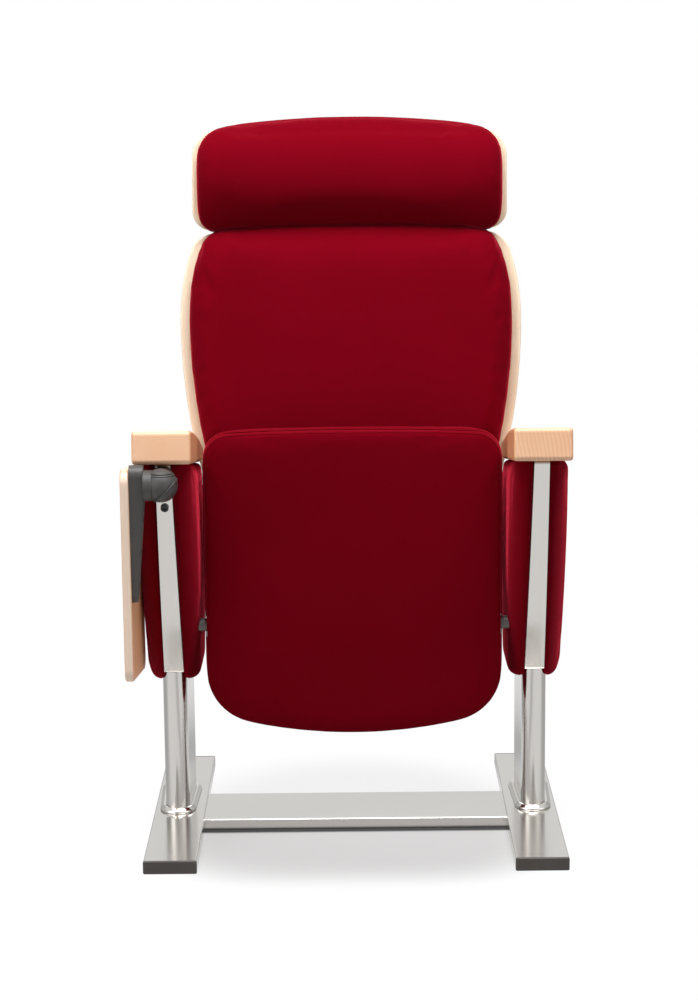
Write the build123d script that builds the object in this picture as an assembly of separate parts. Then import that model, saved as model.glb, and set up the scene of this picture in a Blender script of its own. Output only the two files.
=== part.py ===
from build123d import *
import os
from math import asin, cos, degrees, pi, radians, sin, sqrt, tan

# Tip-up auditorium seat with a headrest, two upholstered side panels and a writing tablet.
#
# Frame: millimetres, +Z up, the sitter faces -Y. The origin is on the floor, at the middle of the
# base's crossbar, half-way between the two side panels. "Left" and "right" are the sitter's, so the
# tablet side is the right side, at -X. Rest is the seat tipped up and the tablet hanging stowed.

# ---------------------------------------------------------------- driving dimensions
# Base: two flat runners, a crossbar and two upright columns
RUNNER_LENGTH = 520.0
RUNNER_WIDTH = 80.0
RUNNER_HEIGHT = 20.0
RUNNER_WALL = 2.0
RUNNER_EDGE = 2.5
RUNNER_OFFSET = 3.5
CAP_FLANGE = 4.0
CAP_PLUG = 18.0
CAP_WALL = 2.0
CROSSBAR_DEPTH = 130.0
CROSSBAR_HEIGHT = 18.0
CROSSBAR_WALL = 2.5
COLUMN_WIDTH = 38.0
COLUMN_REAR_WIDTH = 45.0
COLUMN_FRONT_Y = -35.0
COLUMN_REAR_Y = 106.0
COLUMN_WALL = 3.0
COLUMN_TOP_Z = 248.0
WELD_LEG = 9.0
WELD_LIP = 0.8

# Side panels: a tapered flat-bar hoop round a plywood core, with a pad on each face
SIDE_X = 280.0
HOOP_BAR = 8.0
HOOP_WIDTH_BOTTOM = 30.0
HOOP_WIDTH_TOP = 22.5
HOOP_FOOT_Y = -36.0
HOOP_TOP_Y = -162.0
HOOP_FRONT_BULGE = 6.0
HOOP_REAR_Y = 100.0
HOOP_CORNER_FRONT = 4.0
HOOP_CORNER_REAR = 30.0
CORE_THICKNESS = 20.0
PAD_REACH = 44.5
PAD_INSET = 2.0
PAD_DROP = 9.0
PAD_ROUND = 11.0
PAD_CORNER = 26.0
PAD_CROWN_RADIUS = 6500.0
PAD_CROWN_Z = 440.0
SOFT_GAP = 0.4

# Armrests: solid beech, sloping down to the rear, with a bowed top that thins to the rear
ARM_LENGTH = 305.0
ARM_WIDTH = 87.0
ARM_THICKNESS = 49.0
ARM_MIDDLE_THICKNESS = 43.0
ARM_REAR_THICKNESS = 22.0
ARM_FRONT_Y = -190.0
ARM_FRONT_BOTTOM_Z = 605.0
ARM_SLOPE = 9.5
ARM_EDGE = 5.0
ARM_FRONT_CORNER = 7.0
ARM_REAR_CORNER = 10.0
ARM_SCREW_STEPS = (80.0, 235.0)
ARM_SCREW_BITE = 25.0

# Backrest and headrest: moulded plywood shells, concave to the sitter, on one leaning plane.
# Heights along that plane are measured from BACK_Z.
BACK_Y = 150.0
BACK_Z = 570.0
BACK_LEAN = 12.0
SHELL_RADIUS = 1100.0
SHELL_THICKNESS = 12.0
SHELL_EDGE = 2.5
BACK_SIDE_GAP = 9.0
BACK_WIDEST = 205.0
BACK_SIDE_RADIUS = 950.0
BACK_SHOULDER_RADIUS = 360.0
BACK_TOP = 352.0
BACK_TOP_RADIUS = 2200.0
BACK_TOP_CORNER = 45.0
BACK_BOTTOM = -128.0
BACK_BOTTOM_CORNER = 60.0
BACK_MARGIN = 15.0
BACK_CUSHION_CORNER = 50.0
BACK_CUSHION_RISE = 1.5
BACK_CUSHION = 46.0
BACK_CUSHION_END = 34.0
HEAD_NARROWER = 20.0
HEAD_GAP = 5.0
HEAD_TOP = 528.5
HEAD_TOP_RADIUS = 1070.0
HEAD_TOP_CORNER = 45.0
HEAD_BOTTOM_CORNER = 30.0
HEAD_MARGIN = 8.5
HEAD_CUSHION_CORNER = 52.0
HEAD_CUSHION = 62.0
HEAD_CUSHION_END = 27.0
CUSHION_END_INSET = 1.5
CUSHION_PARTING = 0.5
CUSHION_ROUND = 17.0

# Seat: plywood board between a sitting cushion and an upholstered underside
SEAT_SIDE_SPACE = 50.0
SEAT_TOP_Z = 630.0
SEAT_BOTTOM_Z = 150.0
SEAT_TOP_RADIUS = 4400.0
SEAT_BOTTOM_RADIUS = 760.0
SEAT_TOP_CORNER = 42.0
SEAT_BOTTOM_CORNER = 84.0
SEAT_UNDERSIDE_Y = -60.0
SEAT_SURFACE_Y = 48.0
SEAT_CROWN_RADIUS = 4500.0
SEAT_UNDERSIDE_ROUND = 6.0
SEAT_SURFACE_ROUND = 34.0
SEAT_SEAM_ROUND = 3.0
BOARD_THICKNESS = 12.0
BOARD_UNDERSIDE_Y = -32.0
BOARD_INSET = 16.0

# Seat pivot: a fixed stub on each side panel, in a sprung housing on the seat board
PIVOT_Y = -27.0
PIVOT_Z = 322.0
SEAT_TIP = 83.0
STUB_RADIUS = 7.0
STUB_COLLAR_RADIUS = 10.0
STUB_FLANGE_RADIUS = 25.0
STUB_FLANGE = 5.0
STUB_TAIL = 1.6
STUB_SCREW_CIRCLE = 18.0
STUB_SCREW_BITE = 12.0
HOUSING_RADIUS = 20.0
HOUSING_SINK = 4.0
HOUSING_LENGTH = 42.0
HOUSING_WALL = 4.0
CAM_CHAMBER = 12.0
CAM_HUB_RADIUS = 9.5
CAM_REACH = 15.2
CAM_HALF_ANGLE = 14.0
CAM_REST_ANGLE = 62.0
BUMPER_ANGLE = 18.0
STOP_GAP = 0.3
BUSH_WALL = 2.0
BUSH_FLANGE = 1.5
BUSH_FLANGE_REACH = 2.5
RUNNING_GAP = 0.05
SEAT_GAP = 0.02
RING_THICKNESS = 1.2
RING_REACH = 2.6
RING_MOUTH = 5.0
SPRING_WIRE = 2.4
SPRING_RADIUS = 11.0
SPRING_HALF_TURNS = 9
SPRING_LEG = 7.0
SPRING_END = 0.9
WING_LENGTH = 46.0
WING_HEIGHT = 56.0
WING_THICKNESS = 4.0
WING_SCREW_BITE = 10.0

# Writing tablet: beech board on a plastic arm that turns on one inclined knuckle
KNUCKLE_FORWARD = 15.0
KNUCKLE_DROP = 28.0
KNUCKLE_RADIUS = 25.0
KNUCKLE_PARTING = 7.0
KNUCKLE_GAP = 1.2
KNUCKLE_CLEARANCE = 0.6
NECK_RADIUS = 22.5
NECK_SCREW_RADIUS = 3.0
NECK_SCREW_HEAD_RADIUS = 5.5
NECK_SCREW_HEAD = 4.0
NECK_SCREW_BITE = 12.0
KNUCKLE_PIN_RADIUS = 5.0
KNUCKLE_PIN_REACH = 13.0
KNUCKLE_PIN_ROOT = 19.5
WASHER_RADIUS = 15.0
TABLET_CLEARANCE = 2.0
TABLET_THICKNESS = 13.0
TABLET_FORWARD = 9.0
TABLET_DEPTH = 215.0
TABLET_RISE = 27.0
TABLET_HEIGHT = 322.0
TABLET_CORNER = 20.0
TABLET_EDGE = 3.0
TABLET_ARM_WIDTH = 32.0
TABLET_ARM_TIP_WIDTH = 24.0
TABLET_ARM_THICKNESS = 21.5
TABLET_ARM_TIP_THICKNESS = 9.0
TABLET_ARM_RISE = 29.0
TABLET_ARM_LENGTH = 206.0
TABLET_ARM_FLAT = 50.0
TABLET_ARM_SETBACK = 1.5
TABLET_ARM_EDGE = 2.0
TABLET_SCREW_DROPS = (152.0, 102.0, 52.0)
TABLET_SCREW_WEB = 5.0
TABLET_SCREW_BITE = 9.0
LUG_WIDTH = 22.0
LUG_DROP = 26.0
LUG_RISE = 20.0
LUG_START = 9.0
LUG_EDGE = 6.0
LUG_SCREW_DROPS = (18.0, 4.0)
LUG_SCREW_BITE = 14.0
BACKING_THICKNESS = 5.0
BACKING_WIDTH = 18.0
BACKING_DROP = 63.0
BACKING_RISE = 4.0
STRAP_SCREW_DROP = 46.0
STRAP_SCREW_RADIUS = 3.0
STRAP_SCREW_HEAD_RADIUS = 6.0
STRAP_SCREW_HEAD = 4.0
STRAP_SCREW_BITE = 6.0

# Brackets and fasteners
BACK_BRACKET_STEEL = 5.0
BACK_BRACKET_TOP = -60.0
BACK_BRACKET_BOTTOM = -106.0
BACK_BRACKET_INSET = 21.0
BACK_BRACKET_REACH = 125.0
BACK_BRACKET_LOW_Z = 470.0
BACK_BRACKET_HIGH_Z = 513.0
BACK_BRACKET_SCREW_STEPS = (20.0, 60.0)
BACK_BRACKET_SCREW_MARGIN = 11.0
BACK_BRACKET_SCREW_SHORT = 1.0
HEAD_BRACKET_STEEL = 4.0
HEAD_BRACKET_WIDTH = 34.0
HEAD_BRACKET_X = 110.0
HEAD_BRACKET_OVERLAP = 80.0
HEAD_BRACKET_SCREW_STEPS = (18.0, 58.0)
BRACKET_SEAT = 0.15
SCREW_RADIUS = 2.5
SCREW_HEAD_RADIUS = 5.0
SCREW_HEAD = 3.0
SCREW_GAP = 0.1
HEAD_ROOM = 1.0

# ---------------------------------------------------------------- worked out from them
RUNNER_X = SIDE_X - RUNNER_OFFSET
BACK_HALF_WIDTH = SIDE_X - BACK_SIDE_GAP
HEAD_HALF_WIDTH = BACK_HALF_WIDTH - HEAD_NARROWER
BACK_BRACKET_WEB_X = BACK_HALF_WIDTH - BACK_BRACKET_INSET
BACK_BRACKET_INNER_X = BACK_BRACKET_WEB_X - BACK_BRACKET_REACH
SEAT_HALF_WIDTH = SIDE_X - SEAT_SIDE_SPACE
HOUSING_OUTER_X = SEAT_HALF_WIDTH - HOUSING_SINK
TUBE_HALF = RUNNER_LENGTH / 2 - CAP_FLANGE
SLOPE = radians(ARM_SLOPE)
HOOP_BOTTOM_Z = COLUMN_TOP_Z
CORE_FACE_X = SIDE_X - CORE_THICKNESS / 2
BOARD_TOP_Y = BOARD_UNDERSIDE_Y + BOARD_THICKNESS
HOUSING_INNER_X = HOUSING_OUTER_X - HOUSING_LENGTH
SHOULDER_X = HOUSING_OUTER_X + BUSH_FLANGE + STOP_GAP
RING_X = HOUSING_INNER_X - BUSH_FLANGE - STOP_GAP
STUB_END_X = RING_X - RING_THICKNESS - STUB_TAIL
CHAMBER_RADIUS = HOUSING_RADIUS - HOUSING_WALL
CAM_X = HOUSING_OUTER_X - HOUSING_WALL - CAM_CHAMBER
SPRING_X = HOUSING_INNER_X + HOUSING_WALL
STOP_ANGLE = degrees(STOP_GAP / CAM_REACH)
PARTING_LOW = KNUCKLE_PARTING + KNUCKLE_GAP
KNUCKLE_Y = ARM_FRONT_Y - KNUCKLE_FORWARD
KNUCKLE_Z = ARM_FRONT_BOTTOM_Z - KNUCKLE_DROP
TABLET_INNER_X = SIDE_X + PAD_REACH + TABLET_CLEARANCE
TABLET_FRONT_Y = KNUCKLE_Y - TABLET_FORWARD
TABLET_ARM_TOP_Z = KNUCKLE_Z + TABLET_ARM_RISE
LUG_SCREW_ZS = [KNUCKLE_Z - drop for drop in LUG_SCREW_DROPS]
STRAP_SCREW_Z = KNUCKLE_Z - STRAP_SCREW_DROP
BACK_PLANE = Plane(
    origin=(0, BACK_Y, BACK_Z),
    x_dir=(1, 0, 0),
    z_dir=(0, sin(radians(BACK_LEAN)), cos(radians(BACK_LEAN))),
)
KNUCKLE_PLANE = Plane(
    origin=(-SIDE_X, KNUCKLE_Y, KNUCKLE_Z), x_dir=(0, 1, 0), z_dir=(-1, 0, 1)
)


def arm_underside_z(y):
    """Height of the armrests' sloping underside at a depth y."""
    return ARM_FRONT_BOTTOM_Z - (y - ARM_FRONT_Y) * tan(SLOPE)


# ---------------------------------------------------------------- helpers
def prism_x(sketch, x0, x1):
    """A side-view outline, drawn as (Y, Z), extruded between two values of X."""
    return extrude(Plane.YZ.offset(x0) * sketch, amount=x1 - x0, dir=(1, 0, 0))


def prism_y(sketch, y0, y1):
    """A front-view outline, drawn as (X, Z), extruded between two values of Y."""
    return extrude(Plane.XZ.offset(-y1) * sketch, amount=y1 - y0, dir=(0, -1, 0))


def prism_z(sketch, z0, z1):
    """A plan outline, drawn as (X, Y), extruded between two heights."""
    return extrude(Plane.XY.offset(z0) * sketch, amount=z1 - z0, dir=(0, 0, 1))


def rod_x(radius, x0, x1, y=PIVOT_Y, z=PIVOT_Z):
    """A round bar along X, on the seat's pivot unless told otherwise."""
    return prism_x(Pos(y, z) * Circle(radius), x0, x1)


def block(x0, x1, y0, y1, z0, z1):
    """A plain block between two corners."""
    middle = ((x0 + x1) / 2, (y0 + y1) / 2, (z0 + z1) / 2)
    return Pos(*middle) * Box(x1 - x0, y1 - y0, z1 - z0)


def mirrored(shape):
    """The same piece on the sitter's right."""
    return mirror(shape, about=Plane.YZ)


def group(*shapes):
    """Separate solids kept together in one node."""
    return Compound(children=[solid for shape in shapes for solid in shape.solids()])


def both_sides(shape):
    """A left piece and its mirror image, as separate solids of one node."""
    return group(shape, mirrored(shape))


def in_back_plane(shape):
    """Carries a shape from the backrest's own frame to the seat's."""
    return shape.moved(BACK_PLANE.location)


def facing(origin, direction):
    """A place whose +Z points along a direction, for fasteners."""
    return Plane(origin=origin, z_dir=direction).location


def screw(bite, radius=SCREW_RADIUS, head_radius=SCREW_HEAD_RADIUS, head=SCREW_HEAD):
    """A pan-head screw with a hexagon socket: its head stands above Z = 0, its shank below."""
    cap = Pos(0, 0, head / 2) * Cylinder(head_radius, head)
    cap = chamfer(cap.edges().group_by(Axis.Z)[-1], head * 0.2)
    socket = Pos(0, 0, head) * extrude(RegularPolygon(radius, 6), amount=-head * 0.6)
    return cap + Pos(0, 0, -bite / 2) * Cylinder(radius, bite) - socket


def screw_hole(bite, radius=SCREW_RADIUS):
    """The clearance hole of such a screw, through all that its shank passes."""
    deep = bite + 2 * SCREW_GAP
    return Pos(0, 0, -deep / 2) * Cylinder(radius + SCREW_GAP, deep)


def cut(shape, tool, places):
    """A shape with the same hole at each of several places."""
    for place in places:
        shape = shape - tool.moved(place)
    return shape


# ---------------------------------------------------------------- base
def runner():
    section = Pos(RUNNER_X, RUNNER_HEIGHT / 2) * RectangleRounded(
        RUNNER_WIDTH, RUNNER_HEIGHT, RUNNER_EDGE
    )
    return prism_y(section - offset(section, -RUNNER_WALL), -TUBE_HALF, TUBE_HALF)


def runner_caps():
    """A moulded plug in each end of each runner."""
    outline = RectangleRounded(RUNNER_WIDTH, RUNNER_HEIGHT, RUNNER_EDGE)
    plug = RectangleRounded(
        RUNNER_WIDTH - 2 * RUNNER_WALL - 2 * SCREW_GAP,
        RUNNER_HEIGHT - 2 * RUNNER_WALL - 2 * SCREW_GAP,
        RUNNER_EDGE / 2,
    )
    hollow = offset(plug, -CAP_WALL)
    flange = extrude(outline, amount=CAP_FLANGE)
    flange = chamfer(flange.edges().group_by(Axis.Z)[-1], CAP_FLANGE * 0.25)
    cap = flange + extrude(plug, amount=-CAP_PLUG) - extrude(hollow, amount=-CAP_PLUG)
    caps = []
    for x in (-RUNNER_X, RUNNER_X):
        for end in (-1, 1):
            mouth = (x, end * TUBE_HALF, RUNNER_HEIGHT / 2)
            caps.append(cap.moved(Plane(origin=mouth, x_dir=(1, 0, 0), z_dir=(0, end, 0)).location))
    return group(*caps)


def crossbar():
    half = RUNNER_X - RUNNER_WIDTH / 2
    section = Pos(0, CROSSBAR_HEIGHT / 2) * RectangleRounded(
        CROSSBAR_DEPTH, CROSSBAR_HEIGHT, RUNNER_EDGE
    )
    return prism_x(section - offset(section, -CROSSBAR_WALL), -half, half)


def column_outline(grow=0.0):
    """Plan of a column: a round nose at the front and a wider round rear, with flat sides."""
    nose = Pos(SIDE_X, COLUMN_FRONT_Y + COLUMN_WIDTH / 2) * Circle(COLUMN_WIDTH / 2 + grow)
    tail_y = COLUMN_REAR_Y - COLUMN_REAR_WIDTH / 2
    tail = Pos(SIDE_X, tail_y) * Circle(COLUMN_REAR_WIDTH / 2 + grow)
    return make_hull(nose.edges() + tail.edges())


def column():
    section = column_outline() - column_outline(-COLUMN_WALL)
    return prism_z(section, RUNNER_HEIGHT, COLUMN_TOP_Z)


def column_weld():
    """The dressed weld bead round the foot of a column."""
    foot = Plane.XY.offset(RUNNER_HEIGHT) * column_outline(WELD_LEG)
    lip = Plane.XY.offset(RUNNER_HEIGHT + WELD_LEG - WELD_LIP) * column_outline(WELD_LIP)
    bead = loft([foot.face(), lip.face()], ruled=True)
    return bead - prism_z(column_outline(), RUNNER_HEIGHT, COLUMN_TOP_Z)


# ---------------------------------------------------------------- side panels
def hoop_front():
    """The circle that the hoop's front follows in side view: centre and radius."""
    foot = Vector(HOOP_FOOT_Y, HOOP_BOTTOM_Z)
    top = Vector(HOOP_TOP_Y, arm_underside_z(HOOP_TOP_Y))
    chord = top - foot
    forward = Vector(-chord.Y, chord.X).normalized()
    radius = (chord.length**2 / 4 + HOOP_FRONT_BULGE**2) / (2 * HOOP_FRONT_BULGE)
    centre = (foot + top) * 0.5 - forward * (radius - HOOP_FRONT_BULGE)
    return centre, radius


def strap_y(z, inset=0.0):
    """Depth of the hoop's front at a height, or of a line inside it by inset."""
    centre, radius = hoop_front()
    return centre.X - sqrt((radius - inset) ** 2 - (z - centre.Y) ** 2)


def strap_place(z, inset=0.0, outwards=True):
    """A place on the hoop's front, with +Z pointing off it, or into it."""
    centre, _ = hoop_front()
    point = Vector(strap_y(z, inset), z)
    normal = (point - centre).normalized() * (1 if outwards else -1)
    return facing((SIDE_X, point.X, point.Y), (0, normal.X, normal.Y))


def sharp_outline(inset=0.0, drop=0.0, top_gap=0.0):
    """Side view of a panel before its corners are rounded: it leans forward to the armrest."""
    foot_z = HOOP_BOTTOM_Z - drop
    foot = (strap_y(foot_z, inset), foot_z)
    top_z = arm_underside_z(HOOP_TOP_Y) - top_gap
    top = (strap_y(top_z, inset), arm_underside_z(strap_y(top_z, inset)) - top_gap)
    middle_z = (foot[1] + top[1]) / 2
    rear_y = HOOP_REAR_Y - inset
    rear_top = (rear_y, arm_underside_z(rear_y) - top_gap)
    front = ThreePointArc(foot, (strap_y(middle_z, inset), middle_z), top)
    return make_face(front.edges() + Polyline(top, rear_top, (rear_y, foot_z), foot).edges())


def panel_outline(inset=0.0):
    """Side view of a panel with its four corners rounded."""
    face = fillet(sharp_outline(inset).vertices().sort_by(Axis.X)[2:], HOOP_CORNER_REAR)
    return fillet(face.vertices().sort_by(Axis.X)[:2], HOOP_CORNER_FRONT)


def hoop_wedge(grow=0.0):
    """The space between the two tapering sides of a hoop, as a long prism."""
    taper = (HOOP_WIDTH_BOTTOM - HOOP_WIDTH_TOP) / 2 / (ARM_FRONT_BOTTOM_Z - HOOP_BOTTOM_Z)
    low = HOOP_BOTTOM_Z - 2 * PAD_DROP
    high = ARM_FRONT_BOTTOM_Z + 2 * PAD_DROP
    wide = HOOP_WIDTH_BOTTOM / 2 + taper * (HOOP_BOTTOM_Z - low) + grow
    narrow = HOOP_WIDTH_TOP / 2 - taper * (high - ARM_FRONT_BOTTOM_Z) + grow
    outline = Polyline(
        (SIDE_X - wide, low),
        (SIDE_X + wide, low),
        (SIDE_X + narrow, high),
        (SIDE_X - narrow, high),
        close=True,
    )
    return prism_y(make_face(outline), ARM_FRONT_Y, 2 * COLUMN_REAR_Y)


def arm_screw_places():
    """Heads of the screws that hold the armrest, under the hoop's top bar."""
    up = Vector(0, sin(SLOPE), cos(SLOPE))
    places = []
    for step in ARM_SCREW_STEPS:
        y = ARM_FRONT_Y + step
        head = Vector(SIDE_X, y, arm_underside_z(y)) - up * HOOP_BAR
        places.append(facing(head, -up))
    return places


def bracket_hoop_places():
    """Heads of the screws that hold a back bracket to the hoop's rear bar."""
    y = HOOP_REAR_Y + BACK_BRACKET_STEEL
    low = BACK_BRACKET_LOW_Z + BACK_BRACKET_SCREW_MARGIN
    high = BACK_BRACKET_HIGH_Z - BACK_BRACKET_SCREW_MARGIN
    return [facing((SIDE_X, y, z), (0, 1, 0)) for z in (low, high)]


def lug_screw_places():
    """Heads of the screws that hold the tablet's socket, behind the backing plate."""
    inset = HOOP_BAR + BACKING_THICKNESS + SEAT_GAP
    return [strap_place(z, inset, outwards=False) for z in LUG_SCREW_ZS]


ARM_SCREW = HOOP_BAR + ARM_SCREW_BITE
BRACKET_HOOP_SCREW = BACK_BRACKET_STEEL + HOOP_BAR - BACK_BRACKET_SCREW_SHORT
LUG_SCREW = HOOP_BAR + BACKING_THICKNESS + LUG_SCREW_BITE
STRAP_SCREW = HOOP_BAR + BACKING_THICKNESS + STRAP_SCREW_BITE
STUB_SCREW = STUB_FLANGE + STUB_SCREW_BITE


def hoop():
    outline = panel_outline()
    ring = outline - offset(outline, -HOOP_BAR)
    bar = prism_x(ring, SIDE_X - HOOP_WIDTH_BOTTOM, SIDE_X + HOOP_WIDTH_BOTTOM) & hoop_wedge()
    bar = cut(bar, screw_hole(ARM_SCREW), arm_screw_places())
    return cut(bar, screw_hole(BRACKET_HOOP_SCREW), bracket_hoop_places())


def tablet_side_hoop():
    """The right hoop, drilled for the tablet's socket and backing plate."""
    bar = cut(hoop(), screw_hole(LUG_SCREW), lug_screw_places())
    bar = bar - screw_hole(STRAP_SCREW, STRAP_SCREW_RADIUS).moved(strap_place(STRAP_SCREW_Z))
    return mirrored(bar)


def stub_screw_places():
    """Heads of the three screws in a stub's flange."""
    x = CORE_FACE_X - STUB_FLANGE
    places = []
    for step in range(3):
        turn = radians(90 + 120 * step)
        y = PIVOT_Y + STUB_SCREW_CIRCLE * cos(turn)
        z = PIVOT_Z + STUB_SCREW_CIRCLE * sin(turn)
        places.append(facing((x, y, z), (-1, 0, 0)))
    return places


def panel_core():
    outline = offset(panel_outline(), -HOOP_BAR - SOFT_GAP)
    half = CORE_THICKNESS / 2
    core = prism_x(outline, SIDE_X - half, SIDE_X + half)
    core = cut(core, Cylinder(SCREW_HEAD_RADIUS + HEAD_ROOM, 4 * SCREW_HEAD), arm_screw_places())
    return cut(core, screw_hole(STUB_SCREW), stub_screw_places())


def backing_band(grow=0.0):
    """Space of the backing plate behind the front strap, on the left side."""
    centre, radius = hoop_front()
    ring = Circle(radius - HOOP_BAR) - Circle(radius - HOOP_BAR - BACKING_THICKNESS - grow)
    low = KNUCKLE_Z - BACKING_DROP - grow
    high = KNUCKLE_Z + BACKING_RISE + grow
    front = Pos(ARM_FRONT_Y, (low + high) / 2) * Rectangle(-2 * ARM_FRONT_Y, high - low)
    half = BACKING_WIDTH / 2 + grow
    return prism_x((Pos(centre.X, centre.Y) * ring) & front, SIDE_X - half, SIDE_X + half)


def backing_plate():
    plate = cut(backing_band(), screw_hole(LUG_SCREW), lug_screw_places())
    hole = screw_hole(STRAP_SCREW, STRAP_SCREW_RADIUS).moved(strap_place(STRAP_SCREW_Z))
    return mirrored(plate - hole)


def tablet_side_core():
    """The right core, notched for the backing plate and the heads of its screws."""
    core = panel_core() - backing_band(SOFT_GAP)
    core = cut(core, Cylinder(SCREW_HEAD_RADIUS + HEAD_ROOM, 4 * SCREW_HEAD), lug_screw_places())
    hole = screw_hole(STRAP_SCREW, STRAP_SCREW_RADIUS).moved(strap_place(STRAP_SCREW_Z))
    return mirrored(core - hole)


def outer_pad():
    """A panel's outer pad: crowned face, rounded rim, and a back shaped to hoop and column."""
    outline = sharp_outline(PAD_INSET, PAD_DROP, SOFT_GAP)
    outline = fillet(outline.vertices().sort_by(Axis.Y)[:2], PAD_CORNER)
    face_x = SIDE_X + PAD_REACH
    middle_y = (HOOP_TOP_Y + HOOP_REAR_Y) / 2
    crown = Pos(face_x - PAD_CROWN_RADIUS, middle_y, PAD_CROWN_Z) * Sphere(PAD_CROWN_RADIUS)
    pad = prism_x(outline, SIDE_X, face_x) & crown
    rim = pad.faces().sort_by(Axis.X)[-1].edges().sort_by(Axis.Z)[:-1]
    pad = fillet(rim, PAD_ROUND)
    top_rear = pad.edges().filter_by(Axis.X).sort_by(Axis.Y)[-1]
    pad = fillet(top_rear, PAD_CORNER) if top_rear.center().Z > PAD_CROWN_Z else pad
    pad = pad - hoop_wedge(SOFT_GAP)
    return pad - prism_z(column_outline(SOFT_GAP), 0, COLUMN_TOP_Z + SOFT_GAP)


def inner_pad():
    """The inner pad is the outer one turned round, with a pocket for the pivot stub."""
    pad = mirror(outer_pad(), about=Plane.YZ.offset(SIDE_X))
    flange_x = CORE_FACE_X - STUB_FLANGE - SCREW_HEAD - SOFT_GAP
    pad = pad - rod_x(STUB_FLANGE_RADIUS + SOFT_GAP, flange_x, SIDE_X)
    return pad - rod_x(STUB_COLLAR_RADIUS + SOFT_GAP, SHOULDER_X, SIDE_X)


def armrest():
    """Beech armrest with rounded edges, drawn along its own slope."""
    slope_plane = Plane(
        origin=(SIDE_X - ARM_WIDTH / 2, ARM_FRONT_Y, ARM_FRONT_BOTTOM_Z),
        x_dir=(0, cos(SLOPE), -sin(SLOPE)),
        z_dir=(1, 0, 0),
    )
    front_top = (0, ARM_THICKNESS)
    rear_top = (ARM_LENGTH, ARM_REAR_THICKNESS)
    top = ThreePointArc(front_top, (ARM_LENGTH / 2, ARM_MIDDLE_THICKNESS), rear_top)
    under = Polyline(rear_top, (ARM_LENGTH, 0), (0, 0), front_top)
    side = make_face(top.edges() + under.edges())
    side = fillet(side.vertices().sort_by(Axis.X)[2:], ARM_REAR_CORNER)
    side = fillet(side.vertices().sort_by(Axis.X)[:2], ARM_FRONT_CORNER)
    arm = extrude(slope_plane * side, amount=ARM_WIDTH)
    faces = arm.faces().sort_by(Axis.X)
    arm = fillet(faces[0].edges() + faces[-1].edges(), ARM_EDGE)
    return cut(arm, screw_hole(ARM_SCREW), arm_screw_places())


# ---------------------------------------------------------------- backrest and headrest
def back_sides(radius, margin):
    """Space between two circles that touch the backrest's sides at its widest height."""
    reach = radius - BACK_HALF_WIDTH
    circle = Circle(radius - margin)
    return (Pos(-reach, BACK_WIDEST) * circle) & (Pos(reach, BACK_WIDEST) * circle)


def back_outline(margin=0.0, top_inset=0.0, low_inset=0.0, corner=BACK_TOP_CORNER):
    """Front view of the backrest: sides that draw in below, round shoulders, and an arched top."""
    width = 3 * BACK_HALF_WIDTH
    low = BACK_BOTTOM + low_inset
    below = Pos(0, (low + BACK_WIDEST) / 2) * Rectangle(width, BACK_WIDEST - low)
    above = Pos(0, BACK_WIDEST + BACK_TOP / 2) * Rectangle(width, BACK_TOP)
    top = Pos(0, BACK_TOP - BACK_TOP_RADIUS) * Circle(BACK_TOP_RADIUS - top_inset)
    lower = back_sides(BACK_SIDE_RADIUS, margin) & below
    upper = back_sides(BACK_SHOULDER_RADIUS, margin) & above & top
    face = (lower + upper).face()
    face = fillet(face.vertices().sort_by(Axis.Y)[:2], BACK_BOTTOM_CORNER)
    return fillet(face.vertices().sort_by(Axis.Y)[-2:], corner)


def head_outline(margin=0.0, top_inset=0.0, low_inset=0.0, corner=HEAD_TOP_CORNER):
    """Front view of the headrest: an arched top, and a hollow bottom that follows the backrest."""
    half = HEAD_HALF_WIDTH - margin
    band = Pos(0, (BACK_TOP + HEAD_TOP) / 2) * Rectangle(2 * half, HEAD_TOP)
    top = Pos(0, HEAD_TOP - HEAD_TOP_RADIUS) * Circle(HEAD_TOP_RADIUS - top_inset)
    under_radius = BACK_TOP_RADIUS + HEAD_GAP + low_inset
    under = Pos(0, BACK_TOP - BACK_TOP_RADIUS) * Circle(under_radius)
    face = ((band & top) - under).face()
    face = fillet(face.vertices().sort_by(Axis.Y)[:2], HEAD_BOTTOM_CORNER)
    return fillet(face.vertices().sort_by(Axis.Y)[-2:], corner)


def shell(outline):
    """A moulded plywood shell, curved about an upright axis in front of it."""
    ring = Circle(SHELL_RADIUS + SHELL_THICKNESS) - Circle(SHELL_RADIUS)
    arc = (Pos(0, -SHELL_RADIUS) * ring) & Pos(0, -SHELL_RADIUS / 8) * Rectangle(
        3 * BACK_HALF_WIDTH, SHELL_RADIUS / 3
    )
    sheet = prism_z(arc, 2 * BACK_BOTTOM, HEAD_TOP + BACK_TOP)
    board = sheet & prism_y(outline, -SHELL_RADIUS / 4, SHELL_RADIUS / 4)
    faces = board.faces().sort_by(SortBy.AREA)
    return fillet(faces[-2].edges() + faces[-1].edges(), SHELL_EDGE)


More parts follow.
